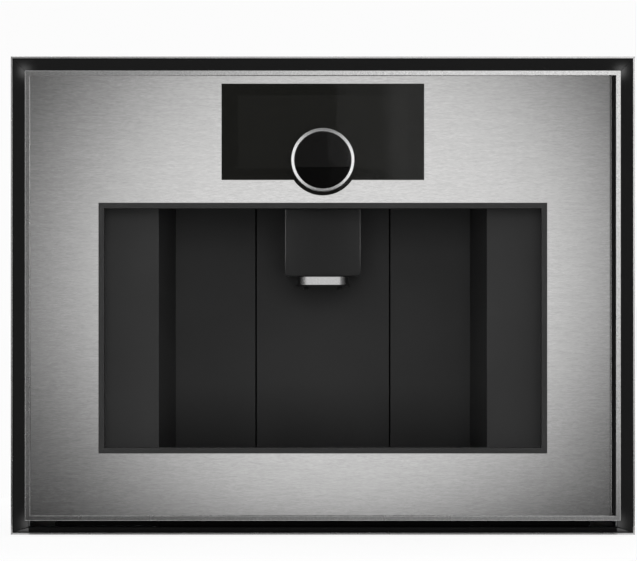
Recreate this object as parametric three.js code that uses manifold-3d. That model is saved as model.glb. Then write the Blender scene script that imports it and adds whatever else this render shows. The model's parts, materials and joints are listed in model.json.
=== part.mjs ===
// Built-in coffee machine: a compact appliance for a 60 cm kitchen column, with a left-hinged steel
// door that floats in front of a bevelled black surround, and a cup niche seen through the door.
// Millimetres, +X right, +Y towards the wall, +Z up. The drawing datum is y = 0 at the furniture front,
// where the surround rests; the finished group is moved so that y = 0 is the middle of its depth.

import * as THREE from "three";
import { mergeVertices } from "three/addons/utils/BufferGeometryUtils.js";
import Module from "manifold-3d";

const wasm = await Module();
wasm.setup();

// ---------------------------------------------------------------- driving dimensions

// Surround: four mitred rails that slope forward from a thin steel edge to a ridge behind the door.
const frontWidth = 594;
const frontHeight = 455;
const edgeWidth = 2.3;
const edgeDepth = 3;
const ridgeDepth = 15;
const ridgeFlat = 1;
const surroundInset = 17.6;
const bottomInset = 8;
const mitreGap = 0.3;

// Casing: a sheet-metal box on two skids.
const casingDepth = 485.5;
const sheet = 1.2;
const skidWidth = 20;
const skidSideGap = 29.4; // from the casing's side to the skid
const skidEndGap = 12;
const chassisProud = 12; // how far the chassis front stands ahead of the furniture front

// Door, measured in from the surround's edges.
const doorSideMargin = 15.7;
const doorBottomMargin = 15;
const doorTopMargin = 15.1;
const doorProud = 47;
const doorThickness = 28;
const rimFace = 4.4;
const panelGap = 0.6;
const pullGroove = 2.6;
const panelThickness = 2;
const linerWall = 3;

// Opening in the door, between the sill below it and the header that holds the display.
const jambWidth = 74.7; // door beside the opening
const sillHeight = 68.7;
const headerHeight = 130;
const trimFace = 5;
const trimProud = 0.4;

// Display and control ring.
const glassWidth = 190.8;
const glassHeight = 90.4;
const glassAboveTrim = 22.1;
const glassThickness = 3.4;
const moduleInset = 10.2;
const moduleInsetBelow = 7.7;
const moduleDepth = 12;
const knobAboveGlass = 18.4; // from the glass's lower edge up to the ring's axis
const ringOuter = 29.8;
const ringWall = 3.3;
const ringLength = 16;
const ringRibHeight = 1.6;
const bossMargin = 3.2; // glass left showing round the ring
const coreLength = 17.2;

// Cup niche.
const nicheFrontWidth = 311.6;
const nicheBackWidth = 284.4;
const nicheDepth = 104;
const nicheWall = 3;
const nicheSeam = 64.6; // from the middle to each seam in the back wall
const seamGap = 1.4;
const deckAboveOpening = 17.5;
const deckThickness = 3;
const deckBehindGrinder = 110;

// Chassis front pieces.
const coverThickness = 3;
const pillar = 24.2; // free strip at each side, for the hinges and the latch
const fasciaRight = 57.6;
const gripWidth = 60;
const gripHeight = 16;
const gripAboveFloor = 32;

// Outlet.
const outletWidth = 72.4;
const outletShown = 64; // how far it hangs below the opening's top
const outletFront = 3;
const outletDepth = 84;
const outletWall = 3;
const outletTravel = 70;
const outletSpare = 11.5; // carriage left in the shaft at the lowest position
const coverLength = 62.5;
const coverDepth = 11.7;
const coverCorner = 3;
const blockWidth = 50;
const blockLength = 44;
const blockHeight = 8.5;
const blockCorner = 7;
const spoutPlate = 1.2;
const spoutPlateRim = 1;
const nozzleRadius = 2.9;
const nozzleLength = 3.1;
const nozzleOffset = 16;
const guideWidth = 40;
const guideRib = 4;
const guideSlotDepth = 1.8;

// Drip tray, grate, float and grounds container.
const trayBelowSill = 23.2; // from the opening's lower edge down to the tray's top
const traySideGap = 3.3;
const trayWall = 2.5;
const trayFrontDrop = 4.2;
const trayLipHalf = 60;
const trayLipDrop = 4.7;
const trayLipThickness = 4;
const grateThickness = 3.7;
const grateSlots = 22;
const grateSlotWidth = 5;
const grateSlotPitch = 12.4;
const floatX = 120;
const floatY = 62;
const floatRadius = 12;
const floatStem = 4.5;
const groundsHalfWidth = 75;
const groundsHeight = 49;
const groundsWall = 2;
const groundsBay = 155; // depth of the tray behind the niche

// Water tank and bean container.
const tankDepth = 95;
const tankBelowDeck = 10;
const tankWall = 2.5;
const tankSpigotRadius = 6;
const tankSpigotLength = 8;
const lidThickness = 3;
const lidPlug = 4;
const tankSideInset = 1.5;
const fillDepth = 36;
const beanBehindThroat = 35;
const beanBelowRoof = 12.2;
const beanSideInset = 6;

// Grinder: burrs on a vertical axis, driven by a motor beside them.
const grinderX = 120;
const grinderDepthBelowDeck = 66;
const grinderWall = 4;
const throatRadius = 20;
const burrInner = 17;
const burrHeight = 15;
const burrAboveFloor = 22;
const coneRadius = 15;
const coneHeight = 34;
const burrShaftRadius = 4;
const gearModule = 2;
const gearTeeth = 52;
const pinionTeeth = 16;
const gearWidth = 8;
const gearBelowFloor = 7;
const gearBacklash = 0.35;
const motorRadius = 26;
const motorLength = 60;
const motorShaftRadius = 3;

// Brewing unit: a cylinder whose piston is lifted by a screw spindle beside it.
const brewX = 30;
const brewBehindNiche = 60;
const brewBore = 24;
const brewWall = 8;
const brewAboveTray = 36;
const brewHeight = 110;
const pistonHeight = 22;
const pistonTravel = 45;
const spindleOffset = 58;
const spindleRadius = 6;
const spindlePitch = 15;
const brewMotorRadius = 19;
const brewMotorLength = 52;

// Pump, heater, electronics and mains inlet, measured in from the casing's inside.
const pumpRadius = 21;
const pumpLength = 112;
const pumpBehindTank = 24;
const heaterWidth = 96;
const heaterLength = 150;
const heaterHeight = 46;
const heaterSideGap = 18.2;
const heaterBackGap = 34.3;
const boardOutletGap = 23.85;
const boardLength = 170;
const boardThickness = 1.6;
const boardSideGap = 28.2;
const boardFront = 26;
const standoff = 6;
const inletSideGap = 59.7;
const inletHeight = 44;
const inletWidth = 27;
const inletTall = 20;
const inletDepth = 24;
const inletFlange = 2.5;

// Hinges and latch.
const hingeInset = 10.7; // axis from the door's left edge
const hingeFromBack = 12; // axis from the door's back face
const hingeEye = 2.2; // material round the pin
const hingeArmThickness = 3;
const hingeArmGap = 0.8;
const hingePinRadius = 3;
const hingePinLength = 21;
const hingeFlangeHeight = 38;
const notchWidth = 33;
const notchHeight = 9.4;
const notchFront = 11;
const latchInset = 18.2; // axis from the door's right edge
const latchPivotBack = 11;
const latchWidth = 16;
const latchThickness = 5;

// Clearances.
const fit = 0.3; // between pieces that touch in the real machine
const running = 0.4; // round turning and sliding pieces
const roundSteps = 32;
const holeSteps = 24;
const knobSteps = 48;

// ---------------------------------------------------------------- derived positions

const halfFront = frontWidth / 2;
const halfCasing = halfFront - surroundInset;
const casingTop = frontHeight - surroundInset;
const casingInside = halfCasing - sheet;
const floorTop = bottomInset; // the floor is level with the top of the surround's bottom rail
const skidHeight = floorTop - sheet;
const roofBottom = casingTop - sheet;
const wallBack = casingDepth - sheet;
const chassisFront = -chassisProud;
const coverBack = chassisFront + coverThickness;

const doorFront = -doorProud;
const doorBack = doorFront + doorThickness;
const doorHalf = halfFront - doorSideMargin;
const doorBottom = doorBottomMargin;
const doorTop = frontHeight - doorTopMargin;
const linerFront = doorFront + panelThickness + fit;
const linerHalf = doorHalf - rimFace - fit;
const linerBottom = doorBottom + rimFace + fit;
const linerTop = doorTop - rimFace - fit;

const openingHalf = doorHalf - jambWidth;
const openingBottom = doorBottom + sillHeight;
const openingTop = doorTop - headerHeight;
const trimHalf = openingHalf + trimFace;
const trimBottom = openingBottom - trimFace;
const trimTop = openingTop + trimFace;

const glassFront = doorFront - trimProud;
const glassBack = glassFront + glassThickness;
const glassBottom = trimTop + glassAboveTrim;
const glassBossRadius = ringOuter + bossMargin;
const ringInner = ringOuter - ringWall;
const knobHeight = glassBottom + knobAboveGlass;

const nicheFront = coverBack;
const nicheBack = nicheFront + nicheDepth;
const wallBehind = nicheBack + nicheWall;
const deckBottom = openingTop + deckAboveOpening;
const deckTop = deckBottom + deckThickness;
const coverBottom = floorTop + 1;
const coverTop = deckBottom - 2;
const sideLimit = casingInside - pillar; // outer edge of the chassis front pieces
const tankLeft = nicheFrontWidth / 2 + nicheWall + fit;
const tankRight = sideLimit - tankSideInset;
const spigotX = (tankLeft + tankRight) / 2;

const trayTop = openingBottom - trayBelowSill;
const trayLipTop = openingBottom - trayLipDrop;
const grateTop = trayTop + fit + grateThickness;
const tankTop = deckBottom - tankBelowDeck;
const beanTop = roofBottom - beanBelowRoof;

const outletBack = outletFront + outletDepth;
const outletBottom = openingTop - outletShown;
const outletTop = openingTop + outletTravel + outletSpare;

const gearCentres = (gearModule * (gearTeeth + pinionTeeth)) / 2;
const gearTipHeight = 0.8 * gearModule;
const gearRootDepth = 1.25 * gearModule;
const grinderRadius = gearCentres - motorRadius - 2;
const grinderY = wallBehind + (gearModule * gearTeeth) / 2 + gearTipHeight + running;
const grinderFloor = deckBottom - grinderDepthBelowDeck;
const burrBottom = grinderFloor + burrAboveFloor;
const gearTop = grinderFloor - gearBelowFloor;

const brewY = wallBehind + brewBehindNiche;
const brewBottom = trayTop + brewAboveTray;
const spindleY = brewY + spindleOffset;

const frontMost = glassFront - coreLength;
const rearMost = casingDepth + inletFlange;

const hingeX = -doorHalf + hingeInset;
const hingeY = doorBack - hingeFromBack;
const hingeArmHalf = hingePinRadius + hingeEye;
const latchX = doorHalf - latchInset;
const latchHeight = (doorBottom + doorTop) / 2;

// ---------------------------------------------------------------- geometry helpers

// A box between two corners.
function box(x0, x1, y0, y1, z0, z1) {
  const geometry = new THREE.BoxGeometry(x1 - x0, y1 - y0, z1 - z0);
  geometry.translate((x0 + x1) / 2, (y0 + y1) / 2, (z0 + z1) / 2);
  return geometry;
}

const plain = { bevelEnabled: false };

// An outline in X and Z, made solid from y0 back to y1.
function plateY(shape, y0, y1) {
  const geometry = new THREE.ExtrudeGeometry(shape, { ...plain, depth: y1 - y0, curveSegments: 12 });
  geometry.rotateX(Math.PI / 2);
  geometry.translate(0, y1, 0);
  return geometry;
}

// An outline in X and Y, made solid from z0 up to z1.
function plateZ(shape, z0, z1) {
  const geometry = new THREE.ExtrudeGeometry(shape, { ...plain, depth: z1 - z0, curveSegments: 8 });
  geometry.translate(0, 0, z0);
  return geometry;
}

function polygon(points) {
  return new THREE.Shape(points.map(([a, b]) => new THREE.Vector2(a, b)));
}

function rectangle(a0, a1, b0, b1) {
  return polygon([[a0, b0], [a1, b0], [a1, b1], [a0, b1]]);
}

function roundedRectangle(a0, a1, b0, b1, radius) {
  const shape = new THREE.Shape();
  shape.moveTo(a0 + radius, b0);
  shape.lineTo(a1 - radius, b0);
  shape.absarc(a1 - radius, b0 + radius, radius, -Math.PI / 2, 0);
  shape.lineTo(a1, b1 - radius);
  shape.absarc(a1 - radius, b1 - radius, radius, 0, Math.PI / 2);
  shape.lineTo(a0 + radius, b1);
  shape.absarc(a0 + radius, b1 - radius, radius, Math.PI / 2, Math.PI);
  shape.lineTo(a0, b0 + radius);
  shape.absarc(a0 + radius, b0 + radius, radius, Math.PI, Math.PI * 1.5);
  return shape;
}

// A solid of revolution about an upright axis through (x, y); the profile is [radius, height] pairs.
function turnedZ(profile, x, y, steps = roundSteps) {
  const geometry = new THREE.LatheGeometry(profile.map(([r, h]) => new THREE.Vector2(r, h)), steps);
  geometry.rotateX(Math.PI / 2);
  geometry.translate(x, y, 0);
  return outward(geometry);
}

// A solid of revolution about a front-to-back axis through (x, z); the profile is [radius, y] pairs.
function turnedY(profile, x, z, steps = roundSteps) {
  const geometry = new THREE.LatheGeometry(profile.map(([r, y]) => new THREE.Vector2(r, y)), steps);
  geometry.translate(x, 0, z);
  return outward(geometry);
}

function cylinderZ(radius, x, y, z0, z1, steps = roundSteps) {
  return turnedZ([[0, z0], [radius, z0], [radius, z1], [0, z1]], x, y, steps);
}

function cylinderY(radius, x, z, y0, y1, steps = roundSteps) {
  return turnedY([[0, y0], [radius, y0], [radius, y1], [0, y1]], x, z, steps);
}

// Six times the signed volume; negative when the faces point inwards.
function signedVolume(geometry) {
  const plain = geometry.index ? geometry.toNonIndexed() : geometry;
  const position = plain.attributes.position;
  const [a, b, c] = [new THREE.Vector3(), new THREE.Vector3(), new THREE.Vector3()];
  let total = 0;
  for (let i = 0; i < position.count; i += 3) {
    a.fromBufferAttribute(position, i);
    b.fromBufferAttribute(position, i + 1);
    c.fromBufferAttribute(position, i + 2);
    total += a.dot(b.cross(c));
  }
  return total;
}

// The same geometry with its faces pointing out.
function outward(geometry) {
  if (signedVolume(geometry) > 0) return geometry;
  const index = geometry.index.array;
  for (let i = 0; i < index.length; i += 3) {
    [index[i], index[i + 1]] = [index[i + 1], index[i]];
  }
  return geometry;
}

function toSolid(geometry) {
  const bare = new THREE.BufferGeometry();
  bare.setAttribute("position", geometry.attributes.position.clone());
  if (geometry.index) bare.setIndex(geometry.index.clone());
  const merged = mergeVertices(bare, 1e-4);
  const triVerts = [];
  const index = merged.index.array;
  for (let i = 0; i < index.length; i += 3) {
    const [a, b, c] = [index[i], index[i + 1], index[i + 2]];
    if (a !== b && b !== c && a !== c) triVerts.push(a, b, c);
  }
  return new wasm.Manifold(new wasm.Mesh({
    numProp: 3,
    vertProperties: new Float32Array(merged.attributes.position.array),
    triVerts: new Uint32Array(triVerts),
  }));
}

function toGeometry(solid) {
  const mesh = solid.getMesh();
  const geometry = new THREE.BufferGeometry();
  geometry.setAttribute("position", new THREE.BufferAttribute(new Float32Array(mesh.vertProperties), 3));
  geometry.setIndex(new THREE.BufferAttribute(new Uint32Array(mesh.triVerts), 1));
  const flat = geometry.toNonIndexed();
  flat.computeVertexNormals();
  return flat;
}

// Joins the first list of shapes, then cuts every shape of the second list away.
function build(added, removed = []) {
  let solid = toSolid(added[0]);
  for (const shape of added.slice(1)) solid = solid.add(toSolid(shape));
  for (const shape of removed) solid = solid.subtract(toSolid(shape));
  return toGeometry(solid);
}

// ---------------------------------------------------------------- materials

const material = (color, roughness, metalness, extra = {}) =>
  new THREE.MeshStandardMaterial({ color, roughness, metalness, ...extra });

const finish = {
  brushedSteel: material(0xb9b9b7, 0.35, 1),
  rimSteel: material(0x9a9a98, 0.4, 1),
  chrome: material(0xdedede, 0.15, 1),
  blackGloss: material(0x1d1d1d, 0.2, 0),
  darkTrim: material(0x373737, 0.5, 0),
  nichePlastic: material(0x2b2b2b, 0.6, 0),
  coverPlastic: material(0x333333, 0.55, 0),
  blackGlass: material(0x121211, 0.06, 0),
  linerPlastic: material(0x242424, 0.6, 0),
  sheetMetal: material(0xa9adb0, 0.45, 1),
  rubber: material(0x1a1a1a, 0.85, 0),
  clearPlastic: material(0x8f999c, 0.12, 0, { transparent: true, opacity: 0.4 }),
  trayPlastic: material(0x1e1e1e, 0.5, 0),
  grateSteel: material(0xb4b4b2, 0.35, 1),
  floatRed: material(0xa92a22, 0.5, 0),
  castMetal: material(0x8c8f92, 0.55, 1),
  whitePlastic: material(0xd7d5cf, 0.5, 0),
  gearPlastic: material(0xe2dfd4, 0.45, 0),
  ceramic: material(0xe9e7e2, 0.4, 0),
  circuitBoard: material(0x1f5a35, 0.5, 0),
};

const machine = new THREE.Group();

function piece(name, geometry, look) {
  const mesh = new THREE.Mesh(geometry, look);
  mesh.name = name;
  machine.add(mesh);
}

// ---------------------------------------------------------------- surround

// Distance in from the outer edge and depth, for each line that runs round the surround.
function railSection(inset) {
  return [
    [0, 0],
    [0, -edgeDepth],
    [edgeWidth, -edgeDepth],
    [inset - ridgeFlat, -ridgeDepth],
    [inset, -ridgeDepth],
    [inset, 0],
  ];
}

// A mitred rail, lofted between two corners: each corner gives the points of the section there.
function rail(start, end) {
  const count = start.length;
  const positions = [...start, ...end].flat();
  const index = [];
  for (let i = 0; i < count; i += 1) {
    const next = (i + 1) % count;
    index.push(i, next, count + next, i, count + next, count + i);
  }
  const section = railSection(surroundInset).map(([inset, depth]) => new THREE.Vector2(inset, depth));
  const cap = THREE.ShapeUtils.triangulateShape(section, []);
  for (const [a, b, c] of cap) index.push(a, c, b, count + a, count + b, count + c);
  const geometry = new THREE.BufferGeometry();
  geometry.setAttribute("position", new THREE.Float32BufferAttribute(positions, 3));
  geometry.setIndex(index);
  return outward(geometry);
}

function makeSurround() {
  const side = railSection(surroundInset);
  const foot = railSection(bottomInset);
  const half = mitreGap / 2;
  // The corner points, seen from the front, moved by (dx, dz) to open the mitre.
  const lower = (sign, dx, dz) =>
    side.map(([inset, depth], i) => [sign * (halfFront - inset) + dx, depth, foot[i][0] + dz]);
  const upper = (sign, dx, dz) =>
    side.map(([inset, depth]) => [sign * (halfFront - inset) + dx, depth, frontHeight - inset + dz]);
  piece("surround_left_rail", rail(lower(-1, 0, half), upper(-1, 0, -half)), finish.blackGloss);
  piece("surround_right_rail", rail(lower(1, 0, half), upper(1, 0, -half)), finish.blackGloss);
  piece("surround_top_rail", rail(upper(-1, half, 0), upper(1, -half, 0)), finish.blackGloss);
  piece("surround_bottom_rail", rail(lower(-1, half, 0), lower(1, -half, 0)), finish.blackGloss);
}

// ---------------------------------------------------------------- casing

// Upright slots in a row, as cutters that pass through y0 to y1.
function slotsY(count, x, z0, z1, pitch, width, y0, y1) {
  return Array.from({ length: count }, (_, i) => {
    const middle = x + (i - (count - 1) / 2) * pitch;
    return box(middle - width / 2, middle + width / 2, y0, y1, z0, z1);
  });
}

function makeCasing() {
  const ventSlots = 12;
  const ventPitch = 9;
  const ventWidth = 4;
  const ventHeight = 44;
  const ventBottom = roofBottom - 136.2;
  const ventX = 150;
  const roofVentFront = wallBack - 104.3;
  const inletX = -casingInside + inletSideGap + inletWidth / 2;

  piece("base_plate", box(-halfCasing, halfCasing, 0, wallBack, skidHeight, floorTop), finish.sheetMetal);

  piece("left_side_panel", box(-halfCasing, -casingInside, chassisFront, wallBack, floorTop, roofBottom),
    finish.sheetMetal);
  piece("right_side_panel", box(casingInside, halfCasing, chassisFront, wallBack, floorTop, roofBottom),
    finish.sheetMetal);

  const roofSlots = slotsY(ventSlots, 0, roofBottom - 1, casingTop + 1, ventPitch, ventWidth,
    roofVentFront, roofVentFront + ventHeight);
  const roof = box(-halfCasing, halfCasing, chassisFront, wallBack, roofBottom, casingTop);
  piece("top_cover", build([roof], roofSlots), finish.sheetMetal);

  const backSlots = [-ventX, ventX].flatMap((x) => slotsY(ventSlots, x, ventBottom,
    ventBottom + ventHeight, ventPitch, ventWidth, wallBack - 1, casingDepth + 1));
  const holeHalf = inletWidth / 2 + fit;
  const holeRise = inletTall / 2 + fit;
  const inletHole = box(inletX - holeHalf, inletX + holeHalf, wallBack - 1, casingDepth + 1,
    inletHeight - holeRise, inletHeight + holeRise);
  const back = box(-halfCasing, halfCasing, wallBack, casingDepth, skidHeight, casingTop);
  piece("rear_panel", build([back], [...backSlots, inletHole]), finish.sheetMetal);

  for (const [name, sign] of [["left_skid", -1], ["right_skid", 1]]) {
    const x = sign * (halfCasing - skidSideGap - skidWidth / 2);
    piece(name, box(x - skidWidth / 2, x + skidWidth / 2, skidEndGap, wallBack - skidEndGap, 0, skidHeight),
      finish.rubber);
  }
}

// ---------------------------------------------------------------- chassis and cup niche

// Half the inside width of the niche at a depth y.
function nicheHalf(y) {
  const share = (y - nicheFront) / nicheDepth;
  return (nicheFrontWidth + (nicheBackWidth - nicheFrontWidth) * share) / 2;
}

function makeNiche() {
  const front = nicheHalf(nicheFront);
  const back = nicheHalf(nicheBack);
  for (const [name, sign] of [["niche_side_left", -1], ["niche_side_right", 1]]) {
    const outline = polygon([
      [sign * front, nicheFront], [sign * back, nicheBack],
      [sign * (back + nicheWall), nicheBack], [sign * (front + nicheWall), nicheFront],
    ]);
    piece(name, outward(plateZ(outline, floorTop, deckBottom)), finish.nichePlastic);
  }
  const sideBottom = trayTop + 6;
  const centreBottom = trayLipTop + 0.8;
  const inner = nicheSeam - seamGap / 2;
  const outer = nicheSeam + seamGap / 2;
  piece("niche_back_left", box(-back - nicheWall, -outer, nicheBack, wallBehind, sideBottom, deckBottom),
    finish.nichePlastic);
  piece("niche_back_right", box(outer, back + nicheWall, nicheBack, wallBehind, sideBottom, deckBottom),
    finish.nichePlastic);
  piece("niche_back_centre", box(-inner, inner, nicheBack, wallBehind, centreBottom, deckBottom),
    finish.nichePlastic);

  const shaftGap = 1.5;
  const shaftHalf = outletWidth / 2 + shaftGap;
  const shaft = box(-shaftHalf, shaftHalf, outletFront - shaftGap, nicheBack, deckBottom - 1, deckTop + 1);
  const throat = cylinderZ(throatRadius + 2, grinderX, grinderY, deckBottom - 1, deckTop + 1);
  piece("upper_deck", build([
    box(-casingInside, casingInside, chassisFront, grinderY + deckBehindGrinder, deckBottom, deckTop),
  ], [shaft, throat]), finish.nichePlastic);
}

function makeChassisFront() {
  const gripZ = floorTop + gripAboveFloor;
  const gripX = -(sideLimit + nicheFrontWidth / 2) / 2;
  const gripBack = coverBack - coverThickness / 2;
  const grip = box(gripX - gripWidth / 2, gripX + gripWidth / 2, chassisFront - 1, gripBack,
    gripZ, gripZ + gripHeight);
  const cover = box(-sideLimit, -nicheFrontWidth / 2, chassisFront, coverBack, coverBottom, coverTop);
  piece("left_bay_cover", build([cover], [grip]), finish.coverPlastic);
  const fascia = box(-sideLimit, fasciaRight, chassisFront, coverBack, deckTop + fit, roofBottom - fit);
  piece("upper_fascia", fascia, finish.coverPlastic);
}

// ---------------------------------------------------------------- outlet

function makeOutlet() {
  const half = outletWidth / 2;
  const splitY = outletFront + coverDepth + fit;
  const coverTopZ = outletBottom + coverLength;
  const pegRadius = 2;
  const pegLength = 7;
  const pegX = half - 12;
  const pegZ = outletBottom + coverLength / 2;

  // The carriage: full depth above the removable cover, set back behind it, hollow and open at the top.
  const upper = box(-half, half, outletFront, outletBack, coverTopZ + fit, outletTop);
  const lower = box(-half, half, splitY, outletBack, outletBottom, coverTopZ + 1);
  const hollow = box(-half + outletWall, half - outletWall, splitY + outletWall, outletBack - outletWall,
    outletBottom + outletWall, outletTop + 1);
  const guideSlot = box(-guideWidth / 2 - running, guideWidth / 2 + running, outletBack - guideSlotDepth,
    outletBack + 1, outletBottom - 1, outletTop + 1);
  const pegHoles = [-pegX, pegX].map((x) => cylinderY(pegRadius + running, x, pegZ, splitY - 1,
    splitY + outletWall + 1, 16));
  piece("outlet_housing", build([upper, lower], [hollow, guideSlot, ...pegHoles]), finish.nichePlastic);

  const coverShape = new THREE.Shape();
  coverShape.moveTo(-half + coverCorner, outletBottom);
  coverShape.lineTo(half - coverCorner, outletBottom);
  coverShape.absarc(half - coverCorner, outletBottom + coverCorner, coverCorner, -Math.PI / 2, 0);
  coverShape.lineTo(half, coverTopZ);
  coverShape.lineTo(-half, coverTopZ);
  coverShape.lineTo(-half, outletBottom + coverCorner);
  coverShape.absarc(-half + coverCorner, outletBottom + coverCorner, coverCorner, Math.PI, Math.PI * 1.5);
  const pegs = [-pegX, pegX].map((x) => cylinderY(pegRadius, x, pegZ, splitY - 1, splitY + pegLength, 16));
  piece("outlet_front_cover", build([plateY(coverShape, outletFront, outletFront + coverDepth), ...pegs]),
    finish.coverPlastic);

  const blockFront = outletFront + 5;
  const blockBottom = outletBottom - blockHeight;
  const blockBack = blockFront + blockLength;
  const blockShape = roundedRectangle(-blockWidth / 2, blockWidth / 2, blockFront, blockBack, blockCorner);
  piece("outlet_steel_block", plateZ(blockShape, blockBottom, outletBottom), finish.brushedSteel);

  const rim = spoutPlateRim;
  const plateShape = roundedRectangle(-blockWidth / 2 - rim, blockWidth / 2 + rim, blockFront - rim,
    blockBack + rim, blockCorner + rim);
  const plateBottom = blockBottom - spoutPlate;
  const nozzleY = blockFront + blockLength / 2;
  const nozzles = [-nozzleOffset, nozzleOffset].map((x) =>
    cylinderZ(nozzleRadius, x, nozzleY, plateBottom - nozzleLength, plateBottom + spoutPlate / 2, 20));
  const plate = plateZ(plateShape, plateBottom, blockBottom);
  piece("outlet_spout_plate", build([plate, ...nozzles]), finish.trayPlastic);

  // The guide is a flat rail on the niche's back wall, with a rib that runs in the carriage's slot.
  const guideBottom = outletBottom + 5.8;
  const guideTop = deckBottom - fit;
  const baseHalf = half - guideRib;
  const railFront = outletBack - guideSlotDepth + running;
  const guideBase = box(-baseHalf, baseHalf, outletBack + running, nicheBack, guideBottom, guideTop);
  const guideRail = box(-guideWidth / 2, guideWidth / 2, railFront, outletBack + 1, guideBottom, guideTop);
  piece("outlet_guide", build([guideBase, guideRail]), finish.whitePlastic);
}

// ---------------------------------------------------------------- drip tray

function makeTray() {
  const trayHalfWidth = nicheBackWidth / 2 - traySideGap;
  const bottom = floorTop + fit;
  const front = coverBack;
  const back = wallBehind + groundsBay;
  const floor = bottom + trayWall;
  const wallGap = 0.7;
  const flangeThickness = 2;
  const dividerY = wallBehind + fit;
  const flangeBack = nicheBack - fit;

  const body = box(-trayHalfWidth, trayHalfWidth, front - 1, back, bottom, trayTop);
  const flange = plateZ(polygon([
    [-nicheHalf(front) + wallGap, front - 1], [nicheHalf(front) - wallGap, front - 1],
    [nicheHalf(flangeBack) - wallGap, flangeBack], [-nicheHalf(flangeBack) + wallGap, flangeBack],
  ]), trayTop - flangeThickness, trayTop);
  const insideHalf = trayHalfWidth - trayWall;
  const basin = box(-insideHalf, insideHalf, front + trayWall, dividerY, floor, trayTop + 1);
  const rear = box(-insideHalf, insideHalf, dividerY + trayWall, back - trayWall, floor, trayTop + 1);
  const facePlate = box(-nicheFrontWidth / 2 + fit, nicheFrontWidth / 2 - fit, chassisFront, coverBack,
    coverBottom, openingBottom - trayFrontDrop);
  const lipBack = nicheBack - 1;
  const lipFront = lipBack - trayLipThickness;
  const lipFootBottom = trayTop - flangeThickness;
  const lip = box(-trayLipHalf, trayLipHalf, lipFront, lipBack, lipFootBottom, trayLipTop);
  const lipFoot = box(-trayLipHalf, trayLipHalf, lipFront, dividerY + 1, lipFootBottom, trayTop);
  const trough = build([body, flange], [basin, rear]);
  piece("drip_tray", build([trough, facePlate, lip, lipFoot]), finish.trayPlastic);

  const grateFront = front + 0.6;
  const grateBack = lipFront - 0.8;
  const edge = 1.6;
  const outline = polygon([
    [-nicheHalf(grateFront) + edge, grateFront], [nicheHalf(grateFront) - edge, grateFront],
    [nicheHalf(grateBack) - edge, grateBack], [-nicheHalf(grateBack) + edge, grateBack],
  ]);
  const slotEnd = 10;
  const slots = Array.from({ length: grateSlots }, (_, i) => {
    const x = (i - (grateSlots - 1) / 2) * grateSlotPitch;
    return box(x - grateSlotWidth / 2, x + grateSlotWidth / 2, grateFront + slotEnd, grateBack - slotEnd,
      trayTop - 1, grateTop + 1);
  });
  const island = cylinderZ(floatStem + 4, floatX, floatY, trayTop + fit, grateTop, holeSteps);
  const hole = cylinderZ(floatStem + 1, floatX, floatY, trayTop - 2, grateTop + 1, holeSteps);
  piece("drip_grate", build([build([plateZ(outline, trayTop + fit, grateTop)], slots), island], [hole]),
    finish.grateSteel);

  const floatBottom = floor + fit;
  const floatTop = grateTop - 0.5;
  piece("tray_float", turnedZ([
    [0, floatBottom],
    [floatRadius, floatBottom],
    [floatRadius, floatBottom + 14],
    [floatStem, floatBottom + 18],
    [floatStem, floatTop - 1],
    [floatStem - 1, floatTop],
    [0, floatTop],
  ], floatX, floatY, holeSteps), finish.floatRed);

  const groundsFront = dividerY + trayWall + 1;
  const groundsBack = back - trayWall - 1;
  const groundsBottom = floor + fit;
  const groundsTop = groundsBottom + groundsHeight;
  const groundsInside = groundsHalfWidth - groundsWall;
  piece("grounds_container", build(
    [box(-groundsHalfWidth, groundsHalfWidth, groundsFront, groundsBack, groundsBottom, groundsTop)],
    [box(-groundsInside, groundsInside, groundsFront + groundsWall, groundsBack - groundsWall,
      groundsBottom + groundsWall, groundsTop + 1)],
  ), finish.coverPlastic);
}

// ---------------------------------------------------------------- water tank and bean container

// A container's lid: a plate on its rim, and a plug that reaches into its mouth.
function lid(left, right, front, back, rim) {
  const inset = tankWall + fit;
  return [
    box(left, right, front, back, rim + fit, rim + fit + lidThickness),
    box(left + inset, right - inset, front + tankWall, back - inset, rim - lidPlug, rim + fit + 1),
  ];
}

function makeTank() {
  const left = tankLeft;
  const right = tankRight;
  const bottom = floorTop + fit;
  const back = coverBack + tankDepth;
  const width = right - left;
  const spigotZ = bottom + 14;
  const body = box(left, right, coverBack - 1, back, bottom, tankTop);
  const face = box(nicheFrontWidth / 2 + fit, sideLimit, chassisFront, coverBack, coverBottom, coverTop);
  const spigot = cylinderY(tankSpigotRadius, spigotX, spigotZ, back - 1, back + tankSpigotLength, holeSteps);
  const inside = box(left + tankWall, right - tankWall, coverBack + tankWall, back - tankWall,
    bottom + tankWall, tankTop + 1);
  const spigotBore = cylinderY(tankSpigotRadius - tankWall, spigotX, spigotZ, back - tankWall - 1,
    back + tankSpigotLength + 1, holeSteps);
  const gripZ = floorTop + gripAboveFloor;
  const gripHalf = 0.28 * width;
  const grip = box(spigotX - gripHalf, spigotX + gripHalf, chassisFront - 1, coverBack - coverThickness / 2,
    gripZ, gripZ + gripHeight);
  piece("water_tank", build([body, face, spigot], [inside, spigotBore, grip]), finish.clearPlastic);

  // The lid has a ridge to lift it by, and an opening to fill the tank through.
  const handleLeft = spigotX - 0.2 * width;
  const handleRight = spigotX + 0.2 * width;
  const handleTop = tankTop + lidThickness + 4;
  const fillHalf = 0.3 * width;
  const fillFront = coverBack + 16;
  const handle = box(handleLeft, handleRight, back - 22, back - 18, tankTop + 1, handleTop);
  const filler = box(spigotX - fillHalf, spigotX + fillHalf, fillFront, fillFront + fillDepth,
    tankTop - lidPlug - 1, handleTop);
  piece("water_tank_lid", build([...lid(left, right, coverBack + fit, back, tankTop), handle], [filler]),
    finish.coverPlastic);
}

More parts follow.
